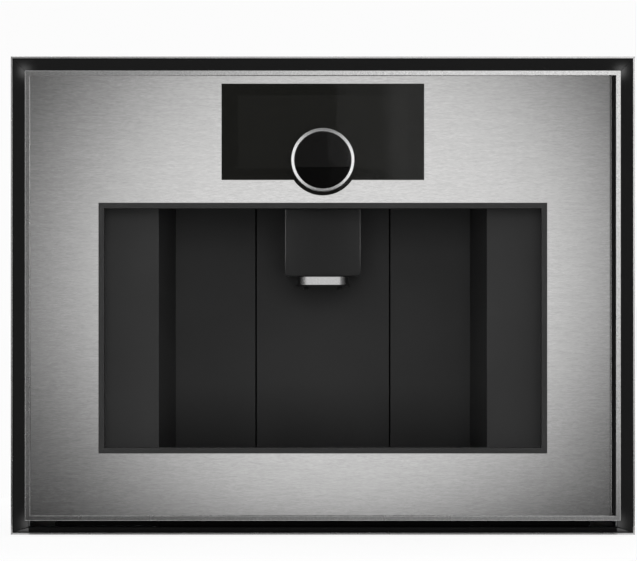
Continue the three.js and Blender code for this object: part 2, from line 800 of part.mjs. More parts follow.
function makeBeans() {
  const left = fasciaRight + fit + beanSideInset;
  const right = sideLimit - beanSideInset;
  const bottom = deckTop + fit;
  const back = grinderY + beanBehindThroat;
  const body = box(left, right, coverBack - 1, back, bottom, beanTop);
  const face = box(fasciaRight + 2 * fit, sideLimit, chassisFront, coverBack, bottom, roofBottom - fit);
  const inside = box(left + tankWall, right - tankWall, coverBack + tankWall, back - tankWall,
    bottom + tankWall, beanTop + 1);
  const hole = cylinderZ(throatRadius - 2, grinderX, grinderY, bottom - 1, bottom + tankWall + 1);
  piece("bean_container", build([body, face], [inside, hole]), finish.clearPlastic);
  const knobX = (left + right) / 2;
  const knobY = (coverBack + back) / 2;
  const knobRadius = 14;
  piece("bean_container_lid", build([
    ...lid(left, right, coverBack + fit, back, beanTop),
    cylinderZ(knobRadius, knobX, knobY, beanTop + 1, beanTop + lidThickness + 4, 28),
  ]), finish.coverPlastic);
}

// ---------------------------------------------------------------- grinder

// A spur gear with straight-sided teeth, thinned by the backlash, on an upright axis.
function gear(teeth, x, y, z0, z1, boreRadius, firstTooth) {
  const pitchRadius = (gearModule * teeth) / 2;
  const root = pitchRadius - gearRootDepth;
  const tip = pitchRadius + gearTipHeight;
  const quarter = Math.PI / (2 * teeth);
  const thin = gearBacklash / pitchRadius / 2;
  const shape = new THREE.Shape();
  for (let i = 0; i < teeth; i += 1) {
    const middle = firstTooth + (i * 2 * Math.PI) / teeth;
    const flank = [[root, -1.6], [tip, -0.55], [tip, 0.55], [root, 1.6]];
    flank.forEach(([radius, share], k) => {
      const turn = middle + share * quarter - Math.sign(share) * thin;
      const point = [x + radius * Math.cos(turn), y + radius * Math.sin(turn)];
      if (i === 0 && k === 0) shape.moveTo(...point);
      else shape.lineTo(...point);
    });
  }
  const bore = new THREE.Path();
  bore.absarc(x, y, boreRadius, 0, Math.PI * 2, true);
  shape.holes.push(bore);
  return plateZ(shape, z0, z1);
}

function makeGrinder() {
  const motorX = grinderX + gearCentres;
  const burrOuter = grinderRadius - grinderWall - fit;
  const floorBottom = grinderFloor - grinderWall;
  const bossRadius = burrShaftRadius + 6;
  const motorHoleGap = running + 5;
  const plate = plateZ(roundedRectangle(grinderX - 20, motorX + motorRadius, grinderY - motorRadius,
    grinderY + motorRadius, 8), floorBottom, grinderFloor);
  const cup = cylinderZ(grinderRadius, grinderX, grinderY, floorBottom, deckBottom);
  const cavity = cylinderZ(grinderRadius - grinderWall, grinderX, grinderY, grinderFloor, deckBottom + 1);
  const holes = [[burrShaftRadius + running, grinderX], [motorShaftRadius + motorHoleGap, motorX]];
  const floorHoles = holes.map(([radius, x]) =>
    cylinderZ(radius, x, grinderY, floorBottom - 1, grinderFloor + 1, holeSteps));
  const chuteLeft = brewX + 16;
  const chuteHalf = 10;
  const chuteTop = grinderFloor + 18;
  const chuteWall = 2;
  const chute = box(chuteLeft, grinderX - grinderRadius + 3, grinderY - chuteHalf, grinderY + chuteHalf,
    floorBottom, chuteTop);
  const chuteInside = chuteHalf - chuteWall;
  const chuteHollow = box(chuteLeft + chuteWall, grinderX - grinderRadius + 8, grinderY - chuteInside,
    grinderY + chuteInside, floorBottom - 1, chuteTop - chuteWall);
  const seatRing = build(
    [cylinderZ(grinderRadius - grinderWall + 0.5, grinderX, grinderY, burrBottom - 4, burrBottom - fit)],
    [cylinderZ(burrInner + 6, grinderX, grinderY, burrBottom - 5, burrBottom + 1)],
  );
  const casting = build([cup, plate, chute], [cavity, chuteHollow]);
  piece("grinder_housing", build([casting, seatRing], floorHoles), finish.castMetal);

  piece("upper_burr", turnedZ([
    [burrInner, burrBottom], [burrOuter, burrBottom], [burrOuter, burrBottom + burrHeight],
    [burrInner + 9, burrBottom + burrHeight], [burrInner, burrBottom],
  ], grinderX, grinderY), finish.ceramic);

  const coneBottom = grinderFloor + 3;
  const gearBottom = gearTop - gearWidth;
  const coneTop = coneBottom + coneHeight;
  piece("lower_burr", turnedZ([
    [0, gearBottom],
    [burrShaftRadius, gearBottom],
    [burrShaftRadius, grinderFloor + 1],
    [bossRadius, grinderFloor + 1],
    [bossRadius, coneBottom],
    [coneRadius, coneBottom + 6],
    [coneRadius, burrBottom + 2],
    [6, coneTop],
    [0, coneTop],
  ], grinderX, grinderY), finish.ceramic);

  // A tooth of one gear lies in a gap of the other on the line between their axes.
  const gearLook = [[gearTeeth, grinderX, burrShaftRadius, Math.PI / gearTeeth],
    [pinionTeeth, motorX, motorShaftRadius, Math.PI]];
  const [burrGear, pinion] = gearLook.map(([teeth, x, shaft, firstTooth]) =>
    gear(teeth, x, grinderY, gearBottom, gearTop, shaft + fit, firstTooth));
  piece("burr_gear", burrGear, finish.gearPlastic);
  piece("motor_pinion", pinion, finish.castMetal);

  const motorTop = grinderFloor + motorLength;
  const bearingRadius = motorShaftRadius + 4;
  piece("grinder_motor", turnedZ([
    [0, gearBottom],
    [motorShaftRadius, gearBottom],
    [motorShaftRadius, grinderFloor - 2],
    [bearingRadius, grinderFloor - 2],
    [bearingRadius, grinderFloor],
    [motorRadius, grinderFloor],
    [motorRadius, motorTop - 4],
    [motorRadius - 6, motorTop],
    [0, motorTop],
  ], motorX, grinderY), finish.sheetMetal);
}

// ---------------------------------------------------------------- brewing unit

function makeBrewUnit() {
  const outer = brewBore + brewWall;
  const top = brewBottom + brewHeight;
  const lugHalf = 14;
  const lugThickness = 8;
  const armHalf = 6;
  const armThickness = 10;
  const slotGap = 1;
  const nutRadius = spindleRadius + 6;

  // The block is fixed to the back of the niche; its bore is open at both ends.
  const barrel = cylinderZ(outer, brewX, brewY, brewBottom, top);
  const mount = box(brewX - outer, brewX + outer, wallBehind, brewY, brewBottom, top);
  const backbone = box(brewX - outer, brewX - outer + 8, brewY, spindleY + lugHalf, brewBottom, top);
  const lugs = [brewBottom, top - lugThickness].map((z) =>
    box(brewX - outer, brewX + lugHalf, spindleY - lugHalf, spindleY + lugHalf, z, z + lugThickness));
  const bore = cylinderZ(brewBore, brewX, brewY, brewBottom - 1, top + 1);
  const slot = box(brewX - armHalf - slotGap, brewX + armHalf + slotGap, brewY, spindleY - nutRadius,
    brewBottom - 1, brewBottom + pistonHeight + pistonTravel + 4);
  const spindleBores = [brewBottom - 1, top - lugThickness - 1].map((z) =>
    cylinderZ(spindleRadius + running, brewX, spindleY, z, z + lugThickness + 2, holeSteps));
  piece("brew_cylinder", build([barrel, mount, backbone, ...lugs], [bore, slot, ...spindleBores]),
    finish.whitePlastic);

  const pistonBottom = brewBottom + lugThickness + 2;
  const armTop = pistonBottom + armThickness;
  const boreRadius = spindleRadius + running;
  const nutBore = cylinderZ(boreRadius, brewX, spindleY, pistonBottom - 1, armTop + 1, holeSteps);
  piece("brew_piston", build([
    cylinderZ(brewBore - running, brewX, brewY, pistonBottom, pistonBottom + pistonHeight),
    box(brewX - armHalf, brewX + armHalf, brewY, spindleY, pistonBottom, armTop),
    cylinderZ(nutRadius, brewX, spindleY, pistonBottom, armTop, holeSteps),
  ], [nutBore]), finish.castMetal);

  // The spindle: its thread is shown as grooves, one for each pitch.
  const grooves = [];
  const grooveRadius = spindleRadius - 1;
  const threadBottom = brewBottom + lugThickness + 4;
  const threadTop = top - lugThickness - 2;
  const turns = Math.floor((threadTop - threadBottom) / spindlePitch);
  for (let i = 0; i < turns; i += 1) {
    const z = threadBottom + (i * (threadTop - threadBottom)) / turns;
    grooves.push([spindleRadius, z], [grooveRadius, z + 1.5]);
    grooves.push([grooveRadius, z + 3], [spindleRadius, z + 4.5]);
  }
  const driveTop = top + 6;
  piece("brew_spindle", turnedZ([
    [0, brewBottom], [spindleRadius, brewBottom], ...grooves, [spindleRadius, driveTop], [0, driveTop],
  ], brewX, spindleY, 16), finish.sheetMetal);

  const motorBottom = driveTop + fit;
  piece("brew_motor", build([
    cylinderZ(brewMotorRadius, brewX, spindleY, motorBottom, motorBottom + brewMotorLength, 32),
    box(brewX - outer, brewX + lugHalf, spindleY - lugHalf, spindleY + lugHalf, motorBottom, motorBottom + 8),
    box(brewX - outer, brewX - outer + 8, spindleY - lugHalf, spindleY + lugHalf, top, motorBottom + 8),
  ]), finish.sheetMetal);
}

// ---------------------------------------------------------------- pump, heater, electronics, mains inlet

function makeServices() {
  const pumpX = spigotX;
  const pumpFront = coverBack + tankDepth + tankSpigotLength + pumpBehindTank;
  const pumpZ = floorTop + pumpRadius + 8;
  const footHalf = 16;
  piece("water_pump", build([
    cylinderY(pumpRadius, pumpX, pumpZ, pumpFront, pumpFront + pumpLength * 0.6, 32),
    cylinderY(pumpRadius * 0.6, pumpX, pumpZ, pumpFront + pumpLength * 0.5, pumpFront + pumpLength, 32),
    cylinderY(4, pumpX, pumpZ, pumpFront - 12, pumpFront + 1, 20),
    box(pumpX - footHalf, pumpX + footHalf, pumpFront + 10, pumpFront + 50, floorTop, pumpZ),
  ]), finish.castMetal);

  const heaterX = -casingInside + heaterSideGap + heaterWidth / 2;
  const heaterFront = wallBack - heaterBackGap - heaterLength;
  const heaterBottom = floorTop + 12;
  const heaterTop = heaterBottom + heaterHeight;
  const finHalf = heaterWidth / 2 - 8;
  const legs = [[-1, 0], [1, 0], [-1, 1], [1, 1]].map(([side, end]) => {
    const x = heaterX + side * (heaterWidth / 2 - 10);
    const y = heaterFront + 10 + end * (heaterLength - 20);
    return cylinderZ(6, x, y, floorTop, heaterBottom + 2, 20);
  });
  const fins = Array.from({ length: 9 }, (_, i) => {
    const y = heaterFront + 12 + i * 15;
    return box(heaterX - finHalf, heaterX + finHalf, y, y + 5, heaterTop - 1, heaterTop + 8);
  });
  const ports = [-24, 24].map((dx) =>
    cylinderY(5, heaterX + dx, heaterBottom + heaterHeight / 2, heaterFront - 14, heaterFront + 1, 20));
  const heaterHalf = heaterWidth / 2;
  const block = box(heaterX - heaterHalf, heaterX + heaterHalf, heaterFront, heaterFront + heaterLength,
    heaterBottom, heaterTop);
  piece("thermoblock", build([block, ...legs, ...fins, ...ports]), finish.castMetal);

  const boardLeft = -casingInside + boardSideGap;
  const boardRight = -outletWidth / 2 - boardOutletGap;
  const boardBottom = deckTop + standoff;
  const boardTop = boardBottom + boardThickness;
  const postInset = 8;
  const postEnds = [boardFront + postInset, boardFront + boardLength - postInset];
  const posts = [boardLeft + postInset, boardRight - postInset].flatMap((x) =>
    postEnds.map((y) => cylinderZ(3.5, x, y, deckTop, boardTop, 16)));
  // Components: left and right edge as shares of the board's width, front and back edge, height.
  const components = [
    [0.08, 0.29, 10, 50, 24],
    [0.34, 0.605, 12, 44, 30],
    [0.68, 0.9, 12, 40, 20],
    [0.09, 0.24, 66, 96, 18],
    [0.31, 0.415, 70, 90, 8],
    [0.48, 0.637, 66, 96, 4],
    [0.72, 0.92, 60, 78, 14],
    [0.72, 0.92, 86, 104, 14],
    [0.07, 0.34, 118, 156, 26],
    [0.415, 0.66, 126, 156, 12],
    [0.73, 0.91, 120, 156, 22],
  ].map(([x0, x1, y0, y1, height]) => {
    const width = boardRight - boardLeft;
    return box(boardLeft + x0 * width, boardLeft + x1 * width, boardFront + y0, boardFront + y1,
      boardTop - 0.5, boardTop + height);
  });
  const board = box(boardLeft, boardRight, boardFront, boardFront + boardLength, boardBottom, boardTop);
  piece("control_board", build([board, ...posts, ...components]), finish.circuitBoard);

  // A three-pin appliance inlet, set through the rear panel, with a flange outside.
  const inletX = -casingInside + inletSideGap + inletWidth / 2;
  const halfW = inletWidth / 2;
  const halfT = inletTall / 2;
  const flangeExtra = 10;
  const pinHalf = 1;
  const inletWall = 2;
  const inletFront = casingDepth - inletDepth;
  const flangeHalf = halfW + flangeExtra;
  const flangeRise = halfT + 3;
  const socket = box(inletX - halfW + inletWall, inletX + halfW - inletWall, inletFront + 6, rearMost + 1,
    inletHeight - halfT + inletWall, inletHeight + halfT - inletWall);
  const pins = [[-7, 2], [7, 2], [0, -3]].map(([dx, dz]) =>
    box(inletX + dx - pinHalf, inletX + dx + pinHalf, inletFront + 5, casingDepth - 3,
      inletHeight + dz - 2, inletHeight + dz + 2));
  const tube = box(inletX - halfW, inletX + halfW, inletFront, casingDepth + 1, inletHeight - halfT,
    inletHeight + halfT);
  const flange = plateY(roundedRectangle(inletX - flangeHalf, inletX + flangeHalf, inletHeight - flangeRise,
    inletHeight + flangeRise, 3), casingDepth, rearMost);
  const shell = build([tube, flange], [socket]);
  piece("mains_inlet", build([shell, ...pins]), finish.trayPlastic);
}

// ---------------------------------------------------------------- door

// The hinge notches in the door's rear left corners, as cutters.
function hingeNotches() {
  return [[doorTop - notchHeight, doorTop + 1], [doorBottom - 1, doorBottom + notchHeight]].map(([z0, z1]) =>
    box(-doorHalf - 1, -doorHalf + notchWidth, hingeY - notchFront, doorBack + 1, z0, z1));
}

// The display glass in front view: a rectangle joined to the round boss under the control ring.
function glassOutline(margin) {
  const half = glassWidth / 2 + margin;
  const bottom = glassBottom - margin;
  const top = glassBottom + glassHeight + margin;
  const radius = glassBossRadius + margin;
  const drop = knobHeight - bottom;
  const start = Math.asin(drop / radius);
  const shape = new THREE.Shape();
  shape.moveTo(-half, top);
  shape.lineTo(-half, bottom);
  shape.absarc(0, knobHeight, radius, Math.PI + start, 2 * Math.PI - start);
  shape.lineTo(half, bottom);
  shape.lineTo(half, top);
  return shape;
}

function makeDoorShell() {
  const insideHalf = doorHalf - rimFace;
  const rimOutline = rectangle(-doorHalf, doorHalf, doorBottom, doorTop);
  rimOutline.holes.push(rectangle(-insideHalf, insideHalf, doorBottom + rimFace, doorTop - rimFace));
  piece("door_rim", build([plateY(rimOutline, doorFront, doorBack)], hingeNotches()), finish.rimSteel);

  const panelOutline = rectangle(-doorHalf + rimFace + panelGap, doorHalf - rimFace - pullGroove,
    doorBottom + rimFace + panelGap, doorTop - rimFace - panelGap);
  panelOutline.holes.push(rectangle(-trimHalf - fit, trimHalf + fit, trimBottom - fit, trimTop + fit));
  panelOutline.holes.push(glassOutline(fit));
  piece("door_panel", plateY(panelOutline, doorFront, doorFront + panelThickness), finish.brushedSteel);

  const trimOutline = rectangle(-trimHalf, trimHalf, trimBottom, trimTop);
  trimOutline.holes.push(rectangle(-openingHalf, openingHalf, openingBottom, openingTop));
  piece("opening_trim", plateY(trimOutline, glassFront, doorBack), finish.darkTrim);
}

function makeLiner() {
  const sleeveHalf = trimHalf + fit;
  const sleeveBottom = trimBottom - fit;
  const sleeveTop = trimTop + fit;
  const floorY = doorBack - linerWall;
  const bossHalf = 8;
  const bossLength = 28;
  const pinBore = hingePinRadius + fit;
  const latchRise = latchWidth / 2 + 4;
  const latchWall = 3;
  const latchLeft = latchX - 11;

  const shell = box(-linerHalf, linerHalf, linerFront, doorBack, linerBottom, linerTop);
  const hollow = box(-linerHalf + linerWall, linerHalf - linerWall, linerFront - 1, floorY,
    linerBottom + linerWall, linerTop - linerWall);
  const sleeve = box(-sleeveHalf - linerWall, sleeveHalf + linerWall, linerFront, doorBack,
    sleeveBottom - linerWall, sleeveTop + linerWall);
  const window = box(-sleeveHalf, sleeveHalf, linerFront - 1, doorBack + 1, sleeveBottom, sleeveTop);

  // Above and below: the block that holds a hinge pin, its bore, and the wall that closes the notch.
  const notchTop = doorTop - notchHeight;
  const notchBottom = doorBottom + notchHeight;
  const boreLength = hingePinLength + 1;
  const wallRight = -doorHalf + notchWidth + linerWall;
  const bossEnds = [[notchTop - bossLength, notchTop + 1], [notchBottom - 1, notchBottom + bossLength]];
  const boreEnds = [[notchTop - boreLength, notchTop + 2], [notchBottom - 2, notchBottom + boreLength]];
  const wallEnds = [[notchTop - linerWall, linerTop], [linerBottom, notchBottom + linerWall]];
  const bosses = bossEnds.map(([z0, z1]) => box(-linerHalf, hingeX + bossHalf, linerFront, doorBack, z0, z1));
  const pinBores = boreEnds.map(([z0, z1]) => cylinderZ(pinBore, hingeX, hingeY, z0, z1, holeSteps));
  const notchWalls = wallEnds.map(([z0, z1]) => box(-linerHalf, wallRight, linerFront, doorBack, z0, z1));

  const latchBlock = box(latchLeft - latchWall, linerHalf, linerFront, doorBack,
    latchHeight - latchRise - latchWall, latchHeight + latchRise + latchWall);
  const latchPocket = box(latchLeft, latchX + 11, hingeY - 8, doorBack + 1,
    latchHeight - latchRise, latchHeight + latchRise);

  const tub = build([shell], [hollow]);
  const solid = build([tub, sleeve, ...bosses, ...notchWalls, latchBlock],
    [window, ...hingeNotches(), ...pinBores, latchPocket]);
  piece("door_liner", solid, finish.linerPlastic);
}

function makeDisplay() {
  piece("display_glass", plateY(glassOutline(0), glassFront, glassBack), finish.blackGlass);
  const moduleHalf = glassWidth / 2 - moduleInset;
  const moduleBottom = glassBottom + moduleInsetBelow;
  const moduleTop = glassBottom + glassHeight - moduleInsetBelow;
  const plugHalf = moduleHalf / 2;
  piece("display_module", build([
    box(-moduleHalf, moduleHalf, glassBack + fit, glassBack + fit + moduleDepth, moduleBottom, moduleTop),
    box(-plugHalf, plugHalf, glassBack + moduleDepth, glassBack + moduleDepth + 5,
      moduleBottom + 10, moduleTop - 10),
  ]), finish.circuitBoard);

  // The ring turns round a fixed glass core; a rib on the core runs in a groove in the ring.
  const ringBack = glassFront - running;
  const ringFront = ringBack - ringLength;
  const coreFront = frontMost;
  const middle = (ringBack + ringFront) / 2;
  const ribHalf = 1;
  const coreRadius = ringInner - running;
  const groove = ringInner + ringRibHeight;
  const rib = groove - running;
  const chamfer = 0.8;
  const grooveFront = middle - ribHalf - running;
  const grooveBack = middle + ribHalf + running;
  piece("control_ring", turnedY([
    [ringInner, ringBack],
    [ringOuter, ringBack],
    [ringOuter, ringFront + chamfer],
    [ringOuter - chamfer, ringFront],
    [ringInner + chamfer, ringFront],
    [ringInner, ringFront + chamfer],
    [ringInner, grooveFront],
    [groove, grooveFront],
    [groove, grooveBack],
    [ringInner, grooveBack],
    [ringInner, ringBack],
  ], 0, knobHeight, knobSteps), finish.chrome);
  piece("knob_core", turnedY([
    [0, glassFront],
    [coreRadius, glassFront],
    [coreRadius, middle + ribHalf],
    [rib, middle + ribHalf],
    [rib, middle - ribHalf],
    [coreRadius, middle - ribHalf],
    [coreRadius, coreFront + chamfer],
    [coreRadius - chamfer, coreFront],
    [0, coreFront],
  ], 0, knobHeight, knobSteps), finish.blackGlass);
}

// ---------------------------------------------------------------- hinges and latch

// One hinge: a flange on the casing wall, an arm that reaches into the door's notch, and a headed pin.
// Ahead of the casing the arm is only as wide as its eye, to clear the open door's rim.
function makeHinge(place, armBottom, up) {
  const armTop = armBottom + hingeArmThickness;
  const flangeBack = 40;
  const flangeBottom = up > 0 ? armBottom : armTop - hingeFlangeHeight;
  const flangeTop = flangeBottom + hingeFlangeHeight;
  const armLeft = hingeX - hingeArmHalf;
  const armRight = hingeX + hingeArmHalf;
  const arm = box(armLeft, armRight, hingeY, flangeBack, armBottom, armTop);
  const armRoot = box(-casingInside, armRight, chassisFront, flangeBack, armBottom, armTop);
  const nose = cylinderZ(hingeArmHalf, hingeX, hingeY, armBottom, armTop, 32);
  const flange = box(-casingInside, -casingInside + hingeArmThickness, chassisFront, flangeBack,
    flangeBottom, flangeTop);
  const pinHole = cylinderZ(hingePinRadius + fit, hingeX, hingeY, armBottom - 1, armTop + 1, holeSteps);
  piece(`${place}_hinge_bracket`, build([arm, armRoot, nose, flange], [pinHole]), finish.castMetal);

  const headRadius = hingePinRadius + 1.8;
  const headHeight = 2.4;
  const seat = up > 0 ? armBottom - fit : armTop + fit;
  const shankEnd = seat + up * (hingePinLength + hingeArmThickness + fit);
  piece(`${place}_hinge_pin`, turnedZ([
    [0, seat - up * headHeight],
    [headRadius, seat - up * headHeight],
    [headRadius, seat],
    [hingePinRadius, seat],
    [hingePinRadius, shankEnd - up],
    [hingePinRadius - 1, shankEnd],
    [0, shankEnd],
  ], hingeX, hingeY, holeSteps), finish.chrome);
}

function makeLatch() {
  const pivotY = doorBack - latchPivotBack;
  const half = latchWidth / 2;
  const trunnion = 2.5;
  const trunnionHalf = half + 4 - fit;
  const barb = 4.5;
  const strikerLip = 3.5;
  const strikerFront = chassisFront + 1;
  const barbFront = strikerFront + strikerLip + fit;
  const barbBack = barbFront + 5;
  const armRight = latchX + latchThickness / 2;
  const armLeft = armRight - latchThickness;
  const hookOutline = polygon([
    [armLeft, pivotY - 4],
    [armRight, pivotY - 4],
    [armRight, barbFront],
    [armRight + barb, barbFront],
    [armRight, barbBack],
    [armLeft, barbBack],
  ]);
  piece("latch_hook", build([
    outward(plateZ(hookOutline, latchHeight - half, latchHeight + half)),
    cylinderZ(trunnion + 2, latchX, pivotY, latchHeight - half, latchHeight + half, holeSteps),
    cylinderZ(trunnion, latchX, pivotY, latchHeight - trunnionHalf, latchHeight + trunnionHalf, holeSteps),
  ]), finish.chrome);

  const strikerHalf = half + 4;
  piece("latch_striker", build([
    box(armRight + running, casingInside, strikerFront, strikerFront + strikerLip, latchHeight - strikerHalf,
      latchHeight + strikerHalf),
    box(casingInside - 2.5, casingInside, strikerFront, strikerFront + 30, latchHeight - strikerHalf,
      latchHeight + strikerHalf),
  ]), finish.castMetal);
}

// ---------------------------------------------------------------- the whole machine

makeSurround();
makeCasing();
makeNiche();
makeChassisFront();
makeOutlet();
makeTray();
makeTank();
makeBeans();
makeGrinder();
makeBrewUnit();
makeServices();
makeDoorShell();
makeLiner();
makeDisplay();
makeHinge("upper", doorTop - notchHeight + hingeArmGap, -1);
makeHinge("lower", doorBottom + notchHeight - hingeArmGap - hingeArmThickness, 1);
makeLatch();

machine.position.y = -(frontMost + rearMost) / 2;
machine.updateMatrixWorld(true);

export default machine;
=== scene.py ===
import json
import math

import bmesh
import bpy
from mathutils import Matrix, Vector


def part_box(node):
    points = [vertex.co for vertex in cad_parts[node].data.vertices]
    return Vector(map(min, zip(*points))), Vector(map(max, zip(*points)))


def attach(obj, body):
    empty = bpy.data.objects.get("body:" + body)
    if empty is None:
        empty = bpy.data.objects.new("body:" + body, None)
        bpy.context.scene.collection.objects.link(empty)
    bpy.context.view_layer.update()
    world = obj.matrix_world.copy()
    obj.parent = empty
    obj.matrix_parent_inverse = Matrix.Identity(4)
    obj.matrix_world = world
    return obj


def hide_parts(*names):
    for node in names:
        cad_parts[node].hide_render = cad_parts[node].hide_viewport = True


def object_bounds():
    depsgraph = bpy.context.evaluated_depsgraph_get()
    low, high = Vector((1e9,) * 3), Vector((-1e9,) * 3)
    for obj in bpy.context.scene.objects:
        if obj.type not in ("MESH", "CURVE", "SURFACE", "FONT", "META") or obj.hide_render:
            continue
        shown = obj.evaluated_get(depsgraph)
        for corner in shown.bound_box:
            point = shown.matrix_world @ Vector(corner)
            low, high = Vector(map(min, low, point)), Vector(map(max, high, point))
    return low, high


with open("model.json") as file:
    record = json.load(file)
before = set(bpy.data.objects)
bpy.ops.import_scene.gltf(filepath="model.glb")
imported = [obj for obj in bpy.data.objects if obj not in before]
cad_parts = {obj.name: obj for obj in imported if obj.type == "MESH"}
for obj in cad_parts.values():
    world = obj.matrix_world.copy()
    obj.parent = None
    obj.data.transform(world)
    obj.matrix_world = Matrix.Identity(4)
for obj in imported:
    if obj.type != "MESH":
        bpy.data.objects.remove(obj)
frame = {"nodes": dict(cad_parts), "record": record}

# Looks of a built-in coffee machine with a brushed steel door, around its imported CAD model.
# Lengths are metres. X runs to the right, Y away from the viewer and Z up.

cad_low, cad_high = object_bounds()  # also the surround's edges in X and Z
MM = 0.001
CAD = frame["nodes"]
BODY = {node: body for body, nodes in frame["record"]["behaviour"]["bodies"].items() for node in nodes}
SLOT = {part["node"]: part["material_slot"] for part in frame["record"]["subparts"]}

# ---- places taken from the CAD model

DOOR_LOW, DOOR_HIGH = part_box("door_rim")
PANEL_LOW, PANEL_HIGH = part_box("door_panel")
GLASS_LOW, GLASS_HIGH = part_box("display_glass")
RING_LOW, RING_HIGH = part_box("control_ring")
RING_CENTRE = (RING_LOW + RING_HIGH) / 2
RING_WALL = 3.0 * MM  # a little less than in the CAD model
RIDGE_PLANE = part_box("surround_left_rail")[0].y
FURNITURE_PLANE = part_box("surround_left_rail")[1].y
RAILS = [f"surround_{place}_rail" for place in ("left", "right", "top", "bottom")]

# ---- node helpers


def put(tree, value, socket):
    """Sets a shader input to a number or colour, or links it from a socket."""
    if isinstance(value, bpy.types.NodeSocket):
        tree.links.new(value, socket)
    else:
        socket.default_value = value


def add(tree, kind, inputs=None, **settings):
    """Adds a shader node. An input is a value, or a socket to link from."""
    made = tree.nodes.new("ShaderNode" + kind)
    for name, value in settings.items():
        setattr(made, name, value)
    for name, value in (inputs or {}).items():
        put(tree, value, made.inputs[name])
    return made


def feed(tree, shader, name, socket):
    tree.links.new(socket, shader.inputs[name])


def calc(tree, operation, first, second=0.0):
    return add(tree, "Math", {0: first, 1: second}, operation=operation).outputs["Value"]


def vector(tree, operation, first, second=(0, 0, 0)):
    return add(tree, "VectorMath", {0: first, 1: second}, operation=operation).outputs["Vector"]


def length(tree, place):
    return add(tree, "VectorMath", {0: place}, operation="LENGTH").outputs["Value"]


def dimmed(tree, colour, share):
    return add(tree, "VectorMath", {0: colour, "Scale": share}, operation="SCALE").outputs["Vector"]


def local_place(tree):
    return add(tree, "TexCoord").outputs["Object"]


def world_place(tree):
    return add(tree, "NewGeometry").outputs["Position"]


def part_along(tree, place, axis):
    return add(tree, "SeparateXYZ", {"Vector": place}).outputs[axis]


def grey(value, warmth=0.0):
    return (value * (1 + warmth), value, value * (1 - warmth), 1)


def noise(tree, per_metre, detail=2.0, roughness=0.5, offset=(0, 0, 0)):
    """Noise in the object's own metres. per_metre is its grain, or the grains along X, Y and Z."""
    grain = per_metre if isinstance(per_metre, tuple) else (per_metre,) * 3
    scaled = add(tree, "Mapping", {"Vector": local_place(tree), "Scale": grain, "Location": offset})
    made = add(tree, "TexNoise", {"Vector": scaled.outputs["Vector"], "Scale": 1.0,
                                  "Detail": detail, "Roughness": roughness})
    return made.outputs["Fac"]


def spread(tree, value, low, high, start_at=0.3, end_at=0.7):
    """Goes from low to high while the value goes from start_at to end_at, and stays level outside."""
    made = add(tree, "MapRange", {"Value": value, "From Min": start_at, "From Max": end_at,
                                  "To Min": low, "To Max": high})
    return made.outputs["Result"]


def ramp(tree, value, start_at, end_at, level):
    """Rises smoothly from 0 to level."""
    made = add(tree, "MapRange", {"Value": value, "From Min": start_at, "From Max": end_at, "To Max": level},
               interpolation_type="SMOOTHSTEP")
    return made.outputs["Result"]


def band(tree, value, low, high, soft):
    """1 where the value lies between low and high, 0 outside, with soft ends."""
    rise = spread(tree, value, 0, 1, low - soft, low + soft)
    fall = spread(tree, value, 1, 0, high - soft, high + soft)
    return calc(tree, "MULTIPLY", rise, fall)


def bell(tree, distance, power):
    """exp(-distance ** power)"""
    return calc(tree, "EXPONENT", calc(tree, "MULTIPLY", calc(tree, "POWER", distance, power), -1.0))


def blend(tree, factor, first, second, kind="MIX"):
    """Mixes two colours, each of them numbers or a socket."""
    made = add(tree, "Mix", data_type="RGBA", blend_type=kind)
    put(tree, factor, made.inputs[0])
    colours = [socket for socket in made.inputs if socket.type == "RGBA"]
    for socket, colour in zip(colours, (first, second)):
        put(tree, colour, socket)
    return next(socket for socket in made.outputs if socket.type == "RGBA")


def bare_tree(owner):
    """The owner's shader tree, emptied."""
    owner.use_nodes = True
    owner.node_tree.nodes.clear()
    return owner.node_tree


def surface(tree, shader):
    add(tree, "OutputMaterial", {"Surface": shader.outputs[0]})


def mix_shaders(tree, factor, first, second):
    return add(tree, "MixShader", {0: factor, 1: first.outputs[0], 2: second.outputs[0]})


finishes = {}


def principled(name, **sockets):
    """Starts a material with one Principled shader whose plain numbers are set from keywords."""
    finishes[name] = bpy.data.materials.new(name)
    tree = bare_tree(finishes[name])
    shader = add(tree, "BsdfPrincipled")
    surface(tree, shader)
    for key, value in sockets.items():
        shader.inputs[key.replace("_", " ")].default_value = value
    return tree, shader


def colour_between(tree, shader, pattern, colour, shares):
    """The colour times one share where the pattern is low, and times the other where it is high."""
    first, second = ([part * share for part in colour[:3]] + [1] for share in shares)
    feed(tree, shader, "Base Color", blend(tree, spread(tree, pattern, 0, 1), first, second))


def roughness_between(tree, shader, pattern, roughness, shares):
    feed(tree, shader, "Roughness", spread(tree, pattern, roughness * shares[0], roughness * shares[1]))


def bump(tree, shader, height, distance):
    made = add(tree, "Bump", {"Height": height, "Distance": distance, "Strength": 1.0})
    feed(tree, shader, "Normal", made.outputs["Normal"])


def scratched_round(tree, shader, axis):
    """Stretches the shader's highlights across scratches that run round the axis."""
    tangent = add(tree, "Tangent", direction_type="RADIAL", axis=axis)
    feed(tree, shader, "Tangent", tangent.outputs["Tangent"])


def textured(name, colour, tones, cloud, roughness, wear, grit, relief=None, depth=0.0, **sockets):
    """A material whose colour, roughness and height follow the noises cloud, grit and relief.

    Each noise is a tuple of what noise() takes, and tones and wear are pairs of shares.
    """
    tree, shader = principled(name, **sockets)
    colour_between(tree, shader, noise(tree, *cloud), colour, tones)
    roughness_between(tree, shader, noise(tree, *grit), roughness, wear)
    if relief:
        bump(tree, shader, noise(tree, *relief), depth)
    return tree, shader


# ---- materials

STEEL = 0.62  # base colour of the bare steels


